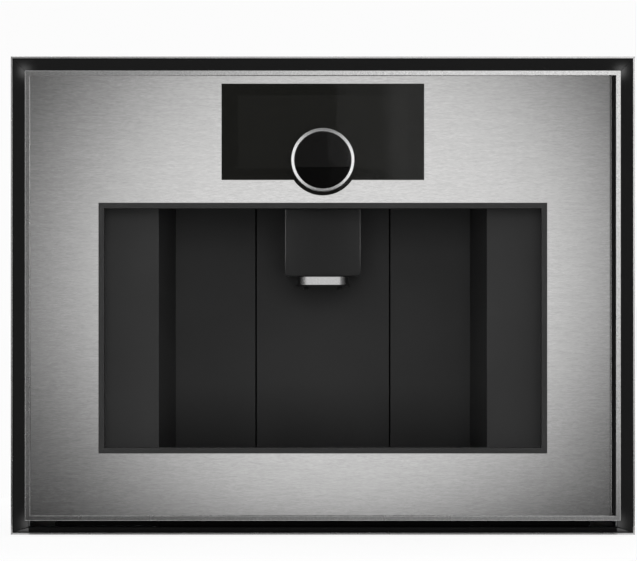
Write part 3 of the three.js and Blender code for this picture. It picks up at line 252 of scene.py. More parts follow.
def brushed_steel(name, base, roughness, per_metre):
    """Steel with short fine scratches: per_metre counts them along X, Y and Z."""
    warmth, contrast, depth = 0.006, 0.15, 8e-7
    tree, shader = principled(name, Metallic=1.0, Anisotropic=0.6, Anisotropic_Rotation=0.25)
    fine = noise(tree, per_metre, detail=3.0, roughness=0.65)
    broad = noise(tree, tuple(count * 0.3 for count in per_metre), offset=(3.1, 1.7, 5.3))
    tone = blend(tree, spread(tree, fine, 0, 1, 0.25, 0.75), grey(base * (1 - contrast), warmth),
                 grey(base * (1 + contrast), warmth))
    cloud = blend(tree, spread(tree, broad, 0, 1), grey(0.93), grey(1.0))
    feed(tree, shader, "Base Color", blend(tree, 1.0, tone, cloud, "MULTIPLY"))
    roughness_between(tree, shader, fine, roughness, (0.85, 1.15))
    scratched_round(tree, shader, "Z")
    bump(tree, shader, noise(tree, per_metre, detail=0.0), depth)


def satin_steel(name, base, roughness):
    """Fine bead-blasted steel, as on the rim and the outer edge."""
    speck, cloud, depth = (1100,), (14,), 3e-6
    textured(name, grey(base, 0.004), (0.82, 1.18), speck, roughness, (0.9, 1.1), cloud, speck, depth,
             Metallic=1.0)


def enamel(name, value, roughness, specular):
    """Black gloss coat with a very slight orange peel."""
    cloud, peel, depth = (9,), (260, 1.0), 8e-6
    textured(name, grey(value), (0.9, 1.1), cloud, roughness, (0.85, 1.2), cloud, peel, depth,
             Specular_IOR_Level=specular)


def moulded(name, colour, roughness, specular=0.4):
    """Moulded plastic with a fine spark-eroded grain and a slight unevenness."""
    cloud, grit, depth = (11, 3.0), (2300, 2.0, 0.6), 1.6e-5
    return textured(name, colour, (0.93, 1.07), cloud, roughness, (0.9, 1.12), grit, grit, depth,
                    Specular_IOR_Level=specular)


def niche_wall_painted_shade(name, colour, roughness):
    """The niche's plastic with painted shade: darker towards its foot, where the sill keeps the light away.
    """
    foot, clear, shade = 80 * MM, 142 * MM, 0.4
    tree, shader = moulded(name, colour, roughness)
    # painted shade: the base colour is scaled from 0.4 at the foot up to 1 above the sill's height
    share = spread(tree, part_along(tree, local_place(tree), "Z"), shade, 1.0, foot, clear)
    plain = shader.inputs["Base Color"].links[0].from_socket
    feed(tree, shader, "Base Color", dimmed(tree, plain, share))


def smeared_glass(name, specular):
    """A hard clean face with the faintest smear of handling."""
    tree, shader = principled(name, Specular_IOR_Level=specular, IOR=1.5)
    smear = noise(tree, (35, 35, 18), detail=4.0, roughness=0.6)
    feed(tree, shader, "Roughness", spread(tree, smear, 0.02, 0.05))
    return tree, shader, smear


def gloss_black(name, value, specular):
    """Black-backed glass."""
    tree, shader, smear = smeared_glass(name, specular)
    colour_between(tree, shader, smear, grey(value, 0.03), (0.97, 1.03))


def screen_glass(name):
    """The display's glass: the screen under it is a little lighter than the printed border."""
    border, screen = (0.0086, 0.0086, 0.0074, 1), (0.0118, 0.0118, 0.0104, 1)
    inset_beside, inset_above, soft = 5 * MM, 3 * MM, 0.4 * MM
    low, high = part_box("display_module")
    tree, shader, _ = smeared_glass(name, 0.5)
    place = local_place(tree)
    across = band(tree, part_along(tree, place, "X"), low.x + inset_beside, high.x - inset_beside, soft)
    upright = band(tree, part_along(tree, place, "Z"), low.z + inset_above, high.z - inset_above, soft)
    feed(tree, shader, "Base Color", blend(tree, calc(tree, "MULTIPLY", across, upright), border, screen))


def galvanised(name):
    """Zinc-coated sheet with a faint spangle and rolling streaks."""
    darker, lighter, depth = (0.51, 0.52, 0.525, 1), (0.54, 0.55, 0.555, 1), 3e-6
    tree, shader = principled(name, Metallic=1.0)
    cells = add(tree, "TexVoronoi", {"Vector": local_place(tree), "Scale": 95.0})
    shade = add(tree, "SeparateColor", {"Color": cells.outputs["Color"]}).outputs["Red"]
    streak = spread(tree, noise(tree, (5, 70, 70)), 0.97, 1.02)
    spangle = blend(tree, spread(tree, shade, 0, 1, 0, 1), darker, lighter)
    feed(tree, shader, "Base Color", dimmed(tree, spangle, streak))
    feed(tree, shader, "Roughness", spread(tree, shade, 0.44, 0.47, 0, 1))
    bump(tree, shader, noise(tree, 420), depth)


def cast(name, value, roughness):
    """Die-cast metal with a sandy skin."""
    cloud, sand, depth = (40,), (1100, 3.0), 4e-5
    textured(name, grey(value, -0.01), (0.9, 1.08), cloud, roughness, (0.85, 1.15), sand, sand, depth,
             Metallic=1.0)


def polished(name, value, roughness):
    """Turned steel: fine circular marks round the ring's axis."""
    marks_per_metre, depth = 9000.0, 3e-6
    tree, shader = principled(name, Metallic=1.0, Anisotropic=0.8, Anisotropic_Rotation=0.25)
    centred = vector(tree, "SUBTRACT", local_place(tree), tuple(RING_CENTRE))
    radius = length(tree, vector(tree, "MULTIPLY", centred, (1, 0, 1)))
    marks = add(tree, "TexNoise", {"W": calc(tree, "MULTIPLY", radius, marks_per_metre), "Scale": 1.0,
                                   "Detail": 2.0}, noise_dimensions="1D").outputs["Fac"]
    colour_between(tree, shader, marks, grey(value), (0.94, 1.0))
    roughness_between(tree, shader, marks, roughness, (0.9, 1.1))
    scratched_round(tree, shader, "Y")
    bump(tree, shader, marks, depth)


def plated(name, value, roughness):
    """Bright-plated steel for pins, screws and the latch."""
    cloud = (120, 3.0)
    textured(name, grey(value), (0.92, 1.0), cloud, roughness, (0.7, 1.4), cloud, Metallic=1.0)


def rubber(name, value):
    """Matt rubber, whose roughness goes from 0.75 to 0.95."""
    grit, depth = (900, 4.0), 5e-5
    textured(name, grey(value), (0.8, 1.2), grit, 1.0, (0.75, 0.95), grit, grit, depth,
             Specular_IOR_Level=0.25)


def smoked(name):
    """Clear smoked plastic of the containers."""
    tree, shader = principled(name, Transmission_Weight=0.9, IOR=1.49, Base_Color=(0.42, 0.44, 0.45, 1))
    feed(tree, shader, "Roughness", spread(tree, noise(tree, 30), 0.03, 0.09))


def circuit(name):
    """Green solder mask with a maze of tracks under it."""
    mask, copper = (0.006, 0.085, 0.03, 1), (0.015, 0.16, 0.06, 1)
    tree, shader = principled(name, Roughness=0.32)
    tracks = add(tree, "TexBrick", {"Vector": local_place(tree), "Scale": 260.0, "Mortar Size": 0.12,
                                    "Brick Width": 3.0, "Row Height": 0.5}).outputs["Fac"]
    feed(tree, shader, "Base Color", blend(tree, tracks, mask, copper))


# Each material's kind, and the values which that kind takes after the name.
MATERIALS = {
    "brushed_steel": (brushed_steel, STEEL, 0.2, (210, 210, 1700)),
    "turned_block": (satin_steel, STEEL, 0.22),
    "rim_steel": (satin_steel, STEEL, 0.28),
    "plated_steel": (plated, STEEL, 0.18),
    "surround_black": (enamel, 0.004, 0.16, 0.08),
    # black for the back wall's seams, and painted shade on the covers' feet under the door
    "joint_black_and_painted_shade": (moulded, grey(0.002), 0.7, 0.05),
    "opening_trim": (moulded, grey(0.039), 0.5),
    "niche_plastic": (niche_wall_painted_shade, grey(0.0375), 0.55),
    "cover_plastic": (moulded, grey(0.041), 0.5),
    "outlet_plastic": (moulded, grey(0.0185), 0.3),
    "spout_plastic": (moulded, grey(0.02), 0.3),
    "display_glass": (screen_glass,),
    "knob_upper_painted_reflection": (gloss_black, 0.007, 0.4),
    "knob_lower_painted_reflection": (gloss_black, 0.0028, 0.1),
    "control_chrome": (polished, 0.86, 0.24),
    "door_liner": (moulded, grey(0.02), 0.6),
    "galvanised_sheet": (galvanised,),
    "skid_rubber": (rubber, 0.018),
    "tank_clear": (smoked,),
    "tray_plastic": (moulded, grey(0.02), 0.5),
    "grate_steel": (brushed_steel, 0.6, 0.28, (38, 1250, 38)),
    "float_red": (moulded, (0.42, 0.028, 0.018, 1), 0.35),
    "cast_metal": (cast, 0.46, 0.5),
    "white_plastic": (moulded, (0.68, 0.66, 0.62, 1), 0.45),
    "gear_plastic": (moulded, (0.75, 0.73, 0.66, 1), 0.4),
    "burr_ceramic": (moulded, (0.8, 0.79, 0.76, 1), 0.25),
    "circuit_board": (circuit,),
}


def finish(name):
    """The material of that name, made when it is first asked for."""
    if name not in finishes:
        kind, *values = MATERIALS[name]
        kind(name, *values)
    return finishes[name]


# ---- mesh helpers


def new_object(name, bm, materials):
    """An object of the mesh. Its materials are given by name, or as they are."""
    mesh = bpy.data.meshes.new(name)
    bm.to_mesh(mesh)
    bm.free()
    for old in ("custom_normal", "sharp_face"):
        if old in mesh.attributes:
            mesh.attributes.remove(mesh.attributes[old])
    for material in materials:
        mesh.materials.append(finish(material) if isinstance(material, str) else material)
    made = bpy.data.objects.new(name, mesh)
    bpy.context.scene.collection.objects.link(made)
    return made


def soften(piece, width, segments=2, angle=30.0, leave=None):
    """Rounds the edges sharper than angle, but not those that leave(edge) picks, and smooths the shading."""
    bm = bmesh.new()
    bm.from_mesh(piece.data)
    weight = bm.edges.layers.float.new("bevel_weight_edge")
    for edge in bm.edges:
        if len(edge.link_faces) == 2 and edge.calc_face_angle(0) > math.radians(angle):
            if leave and leave(edge):
                edge.smooth = False
            else:
                edge[weight] = 1
    for face in bm.faces:
        face.smooth = True
    bm.to_mesh(piece.data)
    bm.free()
    modifier = piece.modifiers.new("edges", "BEVEL")
    modifier.width = width
    modifier.segments = segments
    modifier.limit_method = "WEIGHT"
    modifier.harden_normals = True
    modifier.miter_outer = "MITER_ARC"
    modifier.use_clamp_overlap = True


def cleaned(node):
    """The node's shape with its flat faces whole."""
    bm = bmesh.new()
    bm.from_mesh(CAD[node].data)
    bmesh.ops.remove_doubles(bm, verts=bm.verts, dist=1e-6)
    bmesh.ops.dissolve_limit(bm, angle_limit=math.radians(0.4), verts=bm.verts, edges=bm.edges)
    bmesh.ops.connect_verts_concave(bm, faces=bm.faces)
    return bm


def stand_for(piece, node):
    """The piece takes the node's place and body, and the node is hidden."""
    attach(piece, BODY[node])
    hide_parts(node)


def recalc(bm):
    bmesh.ops.recalc_face_normals(bm, faces=bm.faces)


def refine(node, width=0.4 * MM, segments=2, materials=None, edit=None, angle=30.0, leave=None):
    """A copy of a CAD node with rounded edges."""
    bm = cleaned(node)
    if edit:
        edit(bm)
    piece = new_object(node + "_look", bm, materials or [SLOT[node]])
    soften(piece, width, segments, angle, leave)
    stand_for(piece, node)


def remake(node, bm, materials, width=None, segments=2):
    """A new shape in the node's place, with rounded edges where a width is given."""
    recalc(bm)
    piece = new_object(node + "_look", bm, materials)
    if width:
        soften(piece, width, segments)
    else:
        for polygon in piece.data.polygons:
            polygon.use_smooth = True
    stand_for(piece, node)


def extra(name, bm, material, body, width=None):
    """A piece that has no node of its own."""
    recalc(bm)
    piece = new_object(name, bm, [material])
    if width:
        soften(piece, width, 1, 60)
    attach(piece, body)


def cut(bm, point, normal):
    """Splits the faces along a plane."""
    bmesh.ops.bisect_plane(bm, geom=bm.verts[:] + bm.edges[:] + bm.faces[:], dist=1e-7,
                           plane_co=point, plane_no=normal)


def paint(bm, index, chosen):
    """Gives a material to the faces whose middle is chosen."""
    for face in bm.faces:
        if chosen(face.calc_center_median()):
            face.material_index = index


def bridge(bm, first, second, closed=True):
    """Quads between two rows of vertices."""
    for k in range(len(first) if closed else len(first) - 1):
        after = (k + 1) % len(first)
        bm.faces.new((first[k], first[after], second[after], second[k]))


def arc(centre, radius, from_deg, to_deg, steps):
    """Points of an arc in a profile, as (radius, along) pairs."""
    points = []
    for k in range(steps + 1):
        turn = math.radians(from_deg + (to_deg - from_deg) * k / steps)
        points.append((centre[0] + radius * math.cos(turn), centre[1] + radius * math.sin(turn)))
    return points


def lathe(bm, profile, centre, axis, steps, closed=False):
    """Turns (radius, along) points round an axis through centre. A radius of 0 closes the end."""
    side, back, top = Matrix.Identity(3)  # the directions of X, Y and Z
    up, along = (top, back) if axis == "Y" else (back, top)
    rings = []
    for radius, distance in profile:
        turns = [2 * math.pi * k / steps for k in range(steps if radius else 1)]
        rings.append([bm.verts.new(centre + along * distance + side * radius * math.cos(turn)
                                   + up * radius * math.sin(turn)) for turn in turns])
    pairs = list(zip(rings, rings[1:]))
    if closed:
        pairs.append((rings[-1], rings[0]))
    for first, second in pairs:
        for k in range(steps):
            after = (k + 1) % steps
            corners = (first[k % len(first)], first[after % len(first)],
                       second[after % len(second)], second[k % len(second)])
            bm.faces.new(list(dict.fromkeys(corners)))


def block(bm, low, high):
    low, high = Vector(low), Vector(high)
    for vertex in bmesh.ops.create_cube(bm, size=1.0)["verts"]:
        for axis in range(3):
            vertex.co[axis] = low[axis] if vertex.co[axis] < 0 else high[axis]


def stadium(low, high, corner):
    """A rectangle with round corners, as (x, y) points, counterclockwise."""
    steps = 14
    left, right, front, back = low[0] + corner, high[0] - corner, low[1] + corner, high[1] - corner
    points = []
    for quarter, (x, y) in enumerate(((right, back), (left, back), (left, front), (right, front))):
        for k in range(steps + 1):
            turn = math.pi / 2 * (quarter + k / steps)
            points.append((x + corner * math.cos(turn), y + corner * math.sin(turn)))
    return points


def upright_prism(bm, outline, low, high):
    first, second = ([bm.verts.new((x, y, z)) for x, y in outline] for z in (low, high))
    bm.faces.new(first)
    bm.faces.new(second)
    bridge(bm, first, second)


# ---- door


def make_panel():
    """The brushed front. Its right edge is rolled back into the groove, to pull the door by, and the deeper
    part of the roll is painted black as painted shade.
    """
    roll = 3.8 * MM
    depth = PANEL_HIGH.y - PANEL_LOW.y - 0.1 * MM
    steps = 10
    painted_shade_from = 0.62  # as a share of the roll
    roll_start = PANEL_HIGH.x - roll
    places = [roll_start + roll * math.sin(math.pi / 2 * k / steps) for k in range(steps)]

    def edit(bm):
        for place in places:
            cut(bm, (place, 0, 0), (1, 0, 0))
        for vertex in bm.verts:
            across = (vertex.co.x - roll_start) / roll
            if across > 0 and vertex.co.y < PANEL_LOW.y + 0.5 * MM:
                vertex.co.y += depth * (1 - math.sqrt(max(0, 1 - across * across)))
        # painted shade: the deeper part of the roll takes the black finish
        paint(bm, 1, lambda middle: (middle.x - roll_start) / roll > painted_shade_from)

    refine("door_panel", 0.3 * MM, 3, ["brushed_steel", "surround_black"], edit, angle=50)


def make_rim():
    """The rim, and the narrow flange of it that shows in the gap round the panel."""
    refine("door_rim", 0.4 * MM, 3)
    gap, slack, strip = 0.6 * MM, 0.05 * MM, 0.5 * MM
    left, right = PANEL_LOW.x - gap + slack, PANEL_HIGH.x - 4 * MM
    foot, top = PANEL_LOW.z - gap + slack, PANEL_HIGH.z + gap - slack
    front, back = PANEL_LOW.y + 0.3 * MM, PANEL_HIGH.y - 0.2 * MM
    bm = bmesh.new()
    block(bm, (left, front, foot), (left + strip, back, top))
    for low in (foot, top - strip):
        block(bm, (left + strip, front, low), (right, back, low + strip))
    extra("rim_flange", bm, "rim_steel", "door")


def make_liner():
    """The liner's wall beside the pull groove is set back, so that the groove is deep."""
    groove_floor = PANEL_LOW.y + 9 * MM
    groove_side = PANEL_HIGH.x - 2 * MM

    def edit(bm):
        for vertex in bm.verts:
            if vertex.co.x > groove_side and vertex.co.y < groove_floor:
                vertex.co.y = groove_floor

    refine("door_liner", 0.3 * MM, 1, edit=edit)


def make_display():
    """Black glass that widens round the knob into a round boss below its lower edge."""
    height, steps = 90.4 * MM, 48
    boss_radius = RING_CENTRE.z - GLASS_LOW.z
    lower = GLASS_LOW.z + boss_radius + (GLASS_HIGH.z - RING_CENTRE.z) - height
    reach = math.acos((RING_CENTRE.z - lower) / boss_radius)
    outline = [(GLASS_LOW.x, GLASS_HIGH.z), (GLASS_LOW.x, lower)]
    for k in range(steps + 1):
        turn = -reach + 2 * reach * k / steps
        outline.append((RING_CENTRE.x + boss_radius * math.sin(turn),
                        RING_CENTRE.z - boss_radius * math.cos(turn)))
    outline += [(GLASS_HIGH.x, lower), (GLASS_HIGH.x, GLASS_HIGH.z)]
    bm = bmesh.new()
    first, second = ([bm.verts.new((x, y, z)) for x, z in outline] for y in (GLASS_LOW.y, GLASS_HIGH.y))
    faces = [bm.faces.new(first), bm.faces.new(second)]
    bridge(bm, first, second)
    bmesh.ops.connect_verts_concave(bm, faces=faces)
    remake("display_glass", bm, ["display_glass"], 0.3 * MM, 3)


def make_ring():
    """The turned ring, with a fine groove near its back."""
    outer = (RING_HIGH.x - RING_LOW.x) / 2
    inner = outer - RING_WALL
    front, back = RING_LOW.y - RING_CENTRE.y, RING_HIGH.y - RING_CENTRE.y
    edge, groove = 0.4 * MM, 0.3 * MM
    groove_at = back - 3.2 * MM
    profile = [(outer - edge, back), (outer, back - edge), (outer, groove_at + 2 * groove),
               (outer - groove, groove_at + groove), (outer, groove_at)]
    profile += arc((outer - edge, front + edge), edge, 0, -90, 6)
    profile += arc((inner + edge, front + edge), edge, -90, -180, 6)
    profile += [(inner, back)]
    bm = bmesh.new()
    lathe(bm, profile, RING_CENTRE, "Y", 200, closed=True)
    remake("control_ring", bm, ["control_chrome"])


def make_core():
    """The glass core that stays still inside the ring. Its two tones are a painted reflection of a dark
    horizon in the glass: the lower part is plain black and less shiny.
    """
    low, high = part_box("knob_core")
    painted_horizon = RING_CENTRE.z - 6.8 * MM
    edge, clearance = 0.5 * MM, 0.25 * MM
    radius = (RING_HIGH.x - RING_LOW.x) / 2 - RING_WALL - clearance
    front, back = low.y - RING_CENTRE.y, high.y - RING_CENTRE.y
    rounded = arc((radius - edge, front + edge), edge, 0, -90, 6)
    profile = [(0, back), (radius, back)] + rounded + [(0, front)]
    bm = bmesh.new()
    lathe(bm, profile, RING_CENTRE, "Y", 160)
    # painted reflection: below this horizon line the core takes the darker, duller material
    cut(bm, (0, 0, painted_horizon), (0, 0, 1))
    paint(bm, 1, lambda middle: middle.z < painted_horizon)
    remake("knob_core", bm, ["knob_upper_painted_reflection", "knob_lower_painted_reflection"])


def make_door():
    for make in (make_panel, make_rim, make_liner, make_display, make_ring, make_core):
        make()
    refine("opening_trim", 0.3 * MM, 3)


# ---- surround


def cuts_corner(face):
    return abs(face.normal.x) > 0.3 and abs(face.normal.z) > 0.3


def is_mitre(edge):
    return any(cuts_corner(face) for face in edge.link_faces)


def make_surround():
    """Bevelled black rails with a bare steel edge. The land beside their ridge is bent into the bevel."""
    bare = 1.7 * MM
    land = 16.6 * MM  # from the outside to the land's outer edge
    bend, near = 0.78 * MM, 0.1 * MM
    limits = {"left": ((cad_low.x + bare, 0, 0), (1, 0, 0)),
              "right": ((cad_high.x - bare, 0, 0), (1, 0, 0)),
              "top": ((0, 0, cad_high.z - bare), (0, 0, 1)),
              "bottom": ((0, 0, cad_low.z + bare), (0, 0, 1))}
    for place, (point, normal) in limits.items():
        def edit(bm):
            for vertex in bm.verts:
                aside = cad_high.x - abs(vertex.co.x) if normal[0] else cad_high.z - vertex.co.z
                if abs(aside - land) < near and vertex.co.y < RIDGE_PLANE + near:
                    vertex.co.y += bend
            cut(bm, point, normal)
            paint(bm, 1, lambda middle: min(cad_high.x - abs(middle.x), middle.z - cad_low.z,
                                            cad_high.z - middle.z) < bare)

        refine(f"surround_{place}_rail", 0.25 * MM, 2, ["surround_black", "rim_steel"], edit, angle=20,
               leave=is_mitre)


def make_mitre_seals():
    """Black seals between the mitred ends of the rails."""
    thickness, clearance, inset = 0.34 * MM, 0.005 * MM, 0.97
    bm = bmesh.new()
    for place in ("top", "bottom"):
        rail = cleaned(f"surround_{place}_rail")
        for face in filter(cuts_corner, rail.faces):
            middle = face.calc_center_median()
            first, second = ([bm.verts.new(middle + (vertex.co - middle) * inset + face.normal * lift)
                              for vertex in face.verts] for lift in (clearance, thickness))
            bm.faces.new(first)
            bm.faces.new(second)
            bridge(bm, first, second)
        rail.free()
    extra("surround_mitre_seals", bm, "surround_black", "root")


# ---- niche and outlet


def make_fronts():
    """The covers of the bays. Their feet stand in the dark gap under the door and are painted black there as
    painted shade.
    """
    foot = DOOR_LOW.z + 2 * MM
    front_wall = 2.7 * MM

    def paint_gap_shade_on_foot(bm):
        # painted shade: the faces below this height take the black material
        cut(bm, (0, 0, foot), (0, 0, 1))
        paint(bm, 1, lambda middle: middle.z < foot)

    refine("left_bay_cover", 0.4 * MM, 2, ["cover_plastic", "joint_black_and_painted_shade"], paint_gap_shade_on_foot)
    refine("drip_tray", 0.6 * MM, 3, ["tray_plastic", "joint_black_and_painted_shade"], paint_gap_shade_on_foot)
    for node in ("water_tank", "bean_container"):
        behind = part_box(node)[0].y + front_wall

        def edit(bm):
            if node == "water_tank":
                paint_gap_shade_on_foot(bm)
            for face in bm.faces:
                if face.material_index == 0 and all(vertex.co.y < behind for vertex in face.verts):
                    face.material_index = 2

        refine(node, 0.8 * MM, 3, ["tank_clear", "joint_black_and_painted_shade", "cover_plastic"], edit)


def make_seams():
    """Strips in the two seams of the niche's back wall, set back from its face."""
    set_back, side, end, behind = 0.9 * MM, 0.05 * MM, 1 * MM, 0.3 * MM
    low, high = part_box("niche_back_centre")
    for name, left, right in (("niche_seam_left", "niche_back_left", "niche_back_centre"),
                              ("niche_seam_right", "niche_back_centre", "niche_back_right")):
        bm = bmesh.new()
        block(bm, (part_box(left)[1].x + side, low.y + set_back, low.z + end),
              (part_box(right)[0].x - side, high.y - behind, high.z - end))
        extra(name, bm, "joint_black_and_painted_shade", "root")


def make_outlet_covers():
    """The front cover and the housing behind it, with rounded lower corners."""
    low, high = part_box("outlet_housing")
    cover_low, cover_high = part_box("outlet_front_cover")
    seam, raised, near = cover_high.z, 1.2 * MM, 0.1 * MM

    def raise_seam(bm):
        """The joint between cover and housing lies just under the line where the trim hides them."""
        for vertex in bm.verts:
            if abs(vertex.co.z - seam) < 0.8 * MM:
                vertex.co.z += raised

    def is_lower_corner(edge):
        at_corner = all(abs(abs(vertex.co.x) - high.x) < near and vertex.co.z < low.z + near
                        for vertex in edge.verts)
        return at_corner and edge.calc_length() > 10 * MM

    def round_foot(bm):
        raise_seam(bm)
        bmesh.ops.bevel(bm, geom=list(filter(is_lower_corner, bm.edges)), offset=3 * MM, segments=8,
                        profile=0.5, affect="EDGES")

    def round_face(bm):
        raise_seam(bm)
        front = cover_low.y + 0.01 * MM
        ahead = {face for face in bm.faces if all(vertex.co.y < front for vertex in face.verts)}
        outline = [edge for edge in bm.edges if len(ahead.intersection(edge.link_faces)) == 1
                   and any(vertex.co.z < seam for vertex in edge.verts)]
        bmesh.ops.bevel(bm, geom=outline, offset=1.0 * MM, segments=5, profile=0.5, affect="EDGES",
                        clamp_overlap=False)

    refine("outlet_front_cover", 0.2 * MM, 2, ["outlet_plastic"], round_face, angle=25)
    refine("outlet_housing", 0.5 * MM, 2, ["outlet_plastic"], round_foot, angle=25)


def make_spout():
    """The steel block, and the plate with two nozzles under it."""
    corner, thickness = 10 * MM, 1.2 * MM
    radius, wall, lip = 2.9 * MM, 0.6 * MM, 0.5 * MM
    flare, taper, nozzle_offset, sunk = 0.5 * MM, 0.2 * MM, 16 * MM, 0.1 * MM
    low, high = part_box("outlet_steel_block")
    block_foot = low.z
    bm = bmesh.new()
    upright_prism(bm, stadium(low, high, corner), low.z, high.z)
    remake("outlet_steel_block", bm, ["turned_block"], 0.5 * MM, 3)

    low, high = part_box("outlet_spout_plate")
    bm = bmesh.new()
    upright_prism(bm, stadium(low, high, corner + 1 * MM), block_foot - thickness, block_foot)
    tip, bore = radius - taper, radius - wall - lip
    for side in (-1, 1):
        centre = Vector((side * nozzle_offset, (low.y + high.y) / 2, block_foot - thickness))
        drop = low.z - centre.z
        profile = [(radius + flare, -0.05 * MM), (radius, -0.6 * MM), (tip, drop + lip)]
        profile += arc((tip - lip, drop + lip), lip, 0, -90, 4)
        profile += [(bore, drop + sunk), (bore, -sunk), (0, -sunk)]
        lathe(bm, profile, centre, "Z", 40)
    remake("outlet_spout_plate", bm, ["spout_plastic"], 0.3 * MM)


# ---- everything else from the CAD model


def make_rest():
    for node in sorted(CAD):
        if node + "_look" not in bpy.data.objects:
            refine(node, materials=["plated_steel"] if SLOT[node] == "control_chrome" else None)


# ---- screws, ribs and seal

FINE = 0.05 * MM  # rounding of their edges
CASING_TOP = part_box("top_cover")[1].z
REAR_LOW, REAR_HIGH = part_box("rear_panel")
SIDE_LOW, SIDE_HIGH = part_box("right_side_panel")


def screw(bm, centre, outward, radius=3.6 * MM, height=1.5 * MM):
    """A pan head with a six-lobed socket, standing on a sheet."""
    steps, lobe_depth = 24, 0.16
    out = Vector(outward)
    across = Vector((0, 1, 0)) if abs(out.x) > 0.5 else Vector((1, 0, 0))
    up = out.cross(across)
    # Rows of the head: share of the radius, share of the height, and whether the row has lobes.
    rows = ((1.0, 0.0, 0), (1.0, 0.3, 0), (0.87, 0.75, 0), (0.62, 1.0, 0), (0.44, 1.0, 1), (0.4, 0.35, 1))
    rings = []
    for share, rise, lobed in rows:
        ring = []
        for k in range(steps):
            turn = 2 * math.pi * k / steps
            reach = radius * share * (1 + lobe_depth * lobed * math.cos(6 * turn))
            ring.append(bm.verts.new(Vector(centre) + out * height * rise + across * reach * math.cos(turn)
                                     + up * reach * math.sin(turn)))
        rings.append(ring)
    for first, second in zip(rings, rings[1:]):
        bridge(bm, first, second)
    bm.faces.new(rings[0])
    bm.faces.new(rings[-1])


def bead(bm, begin, end, outward, width=9 * MM, height=1.4 * MM):
    """A long pressed stiffening rib with round ends."""
    begin, end, out = Vector(begin), Vector(end), Vector(outward)
    reach = (end - begin).length
    along = (end - begin) / reach
    side = out.cross(along)
    half = width / 2
    end_steps, side_steps = 7, 10
    places = [half * (1 - math.cos(math.pi / 2 * k / end_steps)) for k in range(end_steps + 1)]
    places += [reach - place for place in reversed(places)]
    rows = []
    for place in places:
        into = min(place, reach - place, half)
        share = math.sqrt(max(0.0, 1 - (1 - into / half) ** 2))
        row = []
        for k in range(side_steps + 1):
            across = math.cos(math.pi * k / side_steps)
            rise = height * share * (0.5 - 0.5 * math.cos(2 * math.pi * k / side_steps))
            row.append(bm.verts.new(begin + along * place + side * half * share * across + out * rise))
        rows.append(row)
    for first, second in zip(rows, rows[1:]):
        bridge(bm, first, second, closed=False)
    bm.faces.new([row[0] for row in rows] + [row[side_steps] for row in reversed(rows)])
    bmesh.ops.remove_doubles(bm, verts=bm.verts, dist=1e-6)


def make_casing_screws():
    """Screws round the edges of the casing's sheets, and two beside the mains inlet."""
    inlet_low, inlet_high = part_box("mains_inlet")
    inlet = (inlet_low + inlet_high) / 2
    margin, inlet_offset = 9 * MM, 20 * MM
    width = REAR_HIGH.x - margin
    near_back, near_front = SIDE_HIGH.y - margin, SIDE_LOW.y + 2 * margin
    bm = bmesh.new()
    for share in (-1, -0.5, 0, 0.5, 1):
        for height in (REAR_LOW.z + margin, REAR_HIGH.z - margin):
            screw(bm, (share * width, REAR_HIGH.y, height), (0, 1, 0))
        screw(bm, (share * width, near_back, CASING_TOP), (0, 0, 1))
    for share in (-1, -1 / 3, 1 / 3, 1):
        screw(bm, (share * width, near_front, CASING_TOP), (0, 0, 1))
    for side in (-1, 1):
        screw(bm, (side * width, REAR_HIGH.y, (REAR_LOW.z + REAR_HIGH.z) / 2), (0, 1, 0))
        for height in (SIDE_LOW.z + margin, (SIDE_LOW.z + SIDE_HIGH.z) / 2, SIDE_HIGH.z - margin):
            screw(bm, (side * SIDE_HIGH.x, near_back, height), (side, 0, 0))
            screw(bm, (side * SIDE_HIGH.x, near_front, height), (side, 0, 0))
        screw(bm, (inlet.x + side * inlet_offset, inlet_high.y - 2 * MM, inlet.z), (0, 1, 0),
              2.6 * MM, 1.2 * MM)
    extra("casing_screws", bm, "plated_steel", "root", FINE)


def make_casing_ribs():
    """Ribs pressed into the sides, the top and the rear."""
    clear = 32 * MM
    width = REAR_HIGH.x - 9 * MM
    top_rib = width * 0.72
    near_back, near_front = SIDE_HIGH.y - clear, SIDE_LOW.y + 2 * clear
    bm = bmesh.new()
    for side in (-1, 1):
        for share in (0.25, 0.5, 0.75):
            height = SIDE_LOW.z + (SIDE_HIGH.z - SIDE_LOW.z) * share
            bead(bm, (side * SIDE_HIGH.x, near_front, height), (side * SIDE_HIGH.x, near_back, height),
                 (side, 0, 0))
        bead(bm, (side * top_rib, near_front, CASING_TOP), (side * top_rib, near_back, CASING_TOP),
             (0, 0, 1))
    for share in (0.3, 0.5):
        height = REAR_LOW.z + (REAR_HIGH.z - REAR_LOW.z) * share
        bead(bm, (-width + clear, REAR_HIGH.y, height), (width - clear, REAR_HIGH.y, height), (0, 1, 0))
    extra("casing_ribs", bm, "galvanised_sheet", "root", FINE)


def make_liner_details():
    """The soft seal round the opening on the door's inside, and the screws that hold the liner."""
    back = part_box("door_liner")[1].y
    low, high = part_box("opening_trim")
    gap, half, rise, steps = 9 * MM, 2.5 * MM, 3.2 * MM, 8
    profile = [(gap + half * math.cos(math.pi * k / steps), rise * math.sin(math.pi * k / steps))
               for k in range(steps + 1)]
    bm = bmesh.new()
    corners = []
    for x, z, across, up in ((low.x, low.z, -1, -1), (high.x, low.z, 1, -1),
                             (high.x, high.z, 1, 1), (low.x, high.z, -1, 1)):
        corners.append([bm.verts.new((x + across * reach, back + lift, z + up * reach))
                        for reach, lift in profile])
    for k, first in enumerate(corners):
        bridge(bm, first, corners[(k + 1) % len(corners)])
    extra("door_seal", bm, "skid_rubber", "door", FINE)

    column = high.x + 28 * MM
    end_shares, side_shares = (0.1, 0.9), (0.1, 0.34, 0.66, 0.9)  # of the front's height
    bm = bmesh.new()
    for side in (-1, 1):
        for x, shares in ((side * column, side_shares), (side * column / 3, end_shares)):
            for share in shares:
                screw(bm, (x, back, cad_high.z * share), (0, 1, 0), 3 * MM, 1.2 * MM)
    extra("liner_screws", bm, "plated_steel", "door", FINE)


# ---- camera, lamps and floor

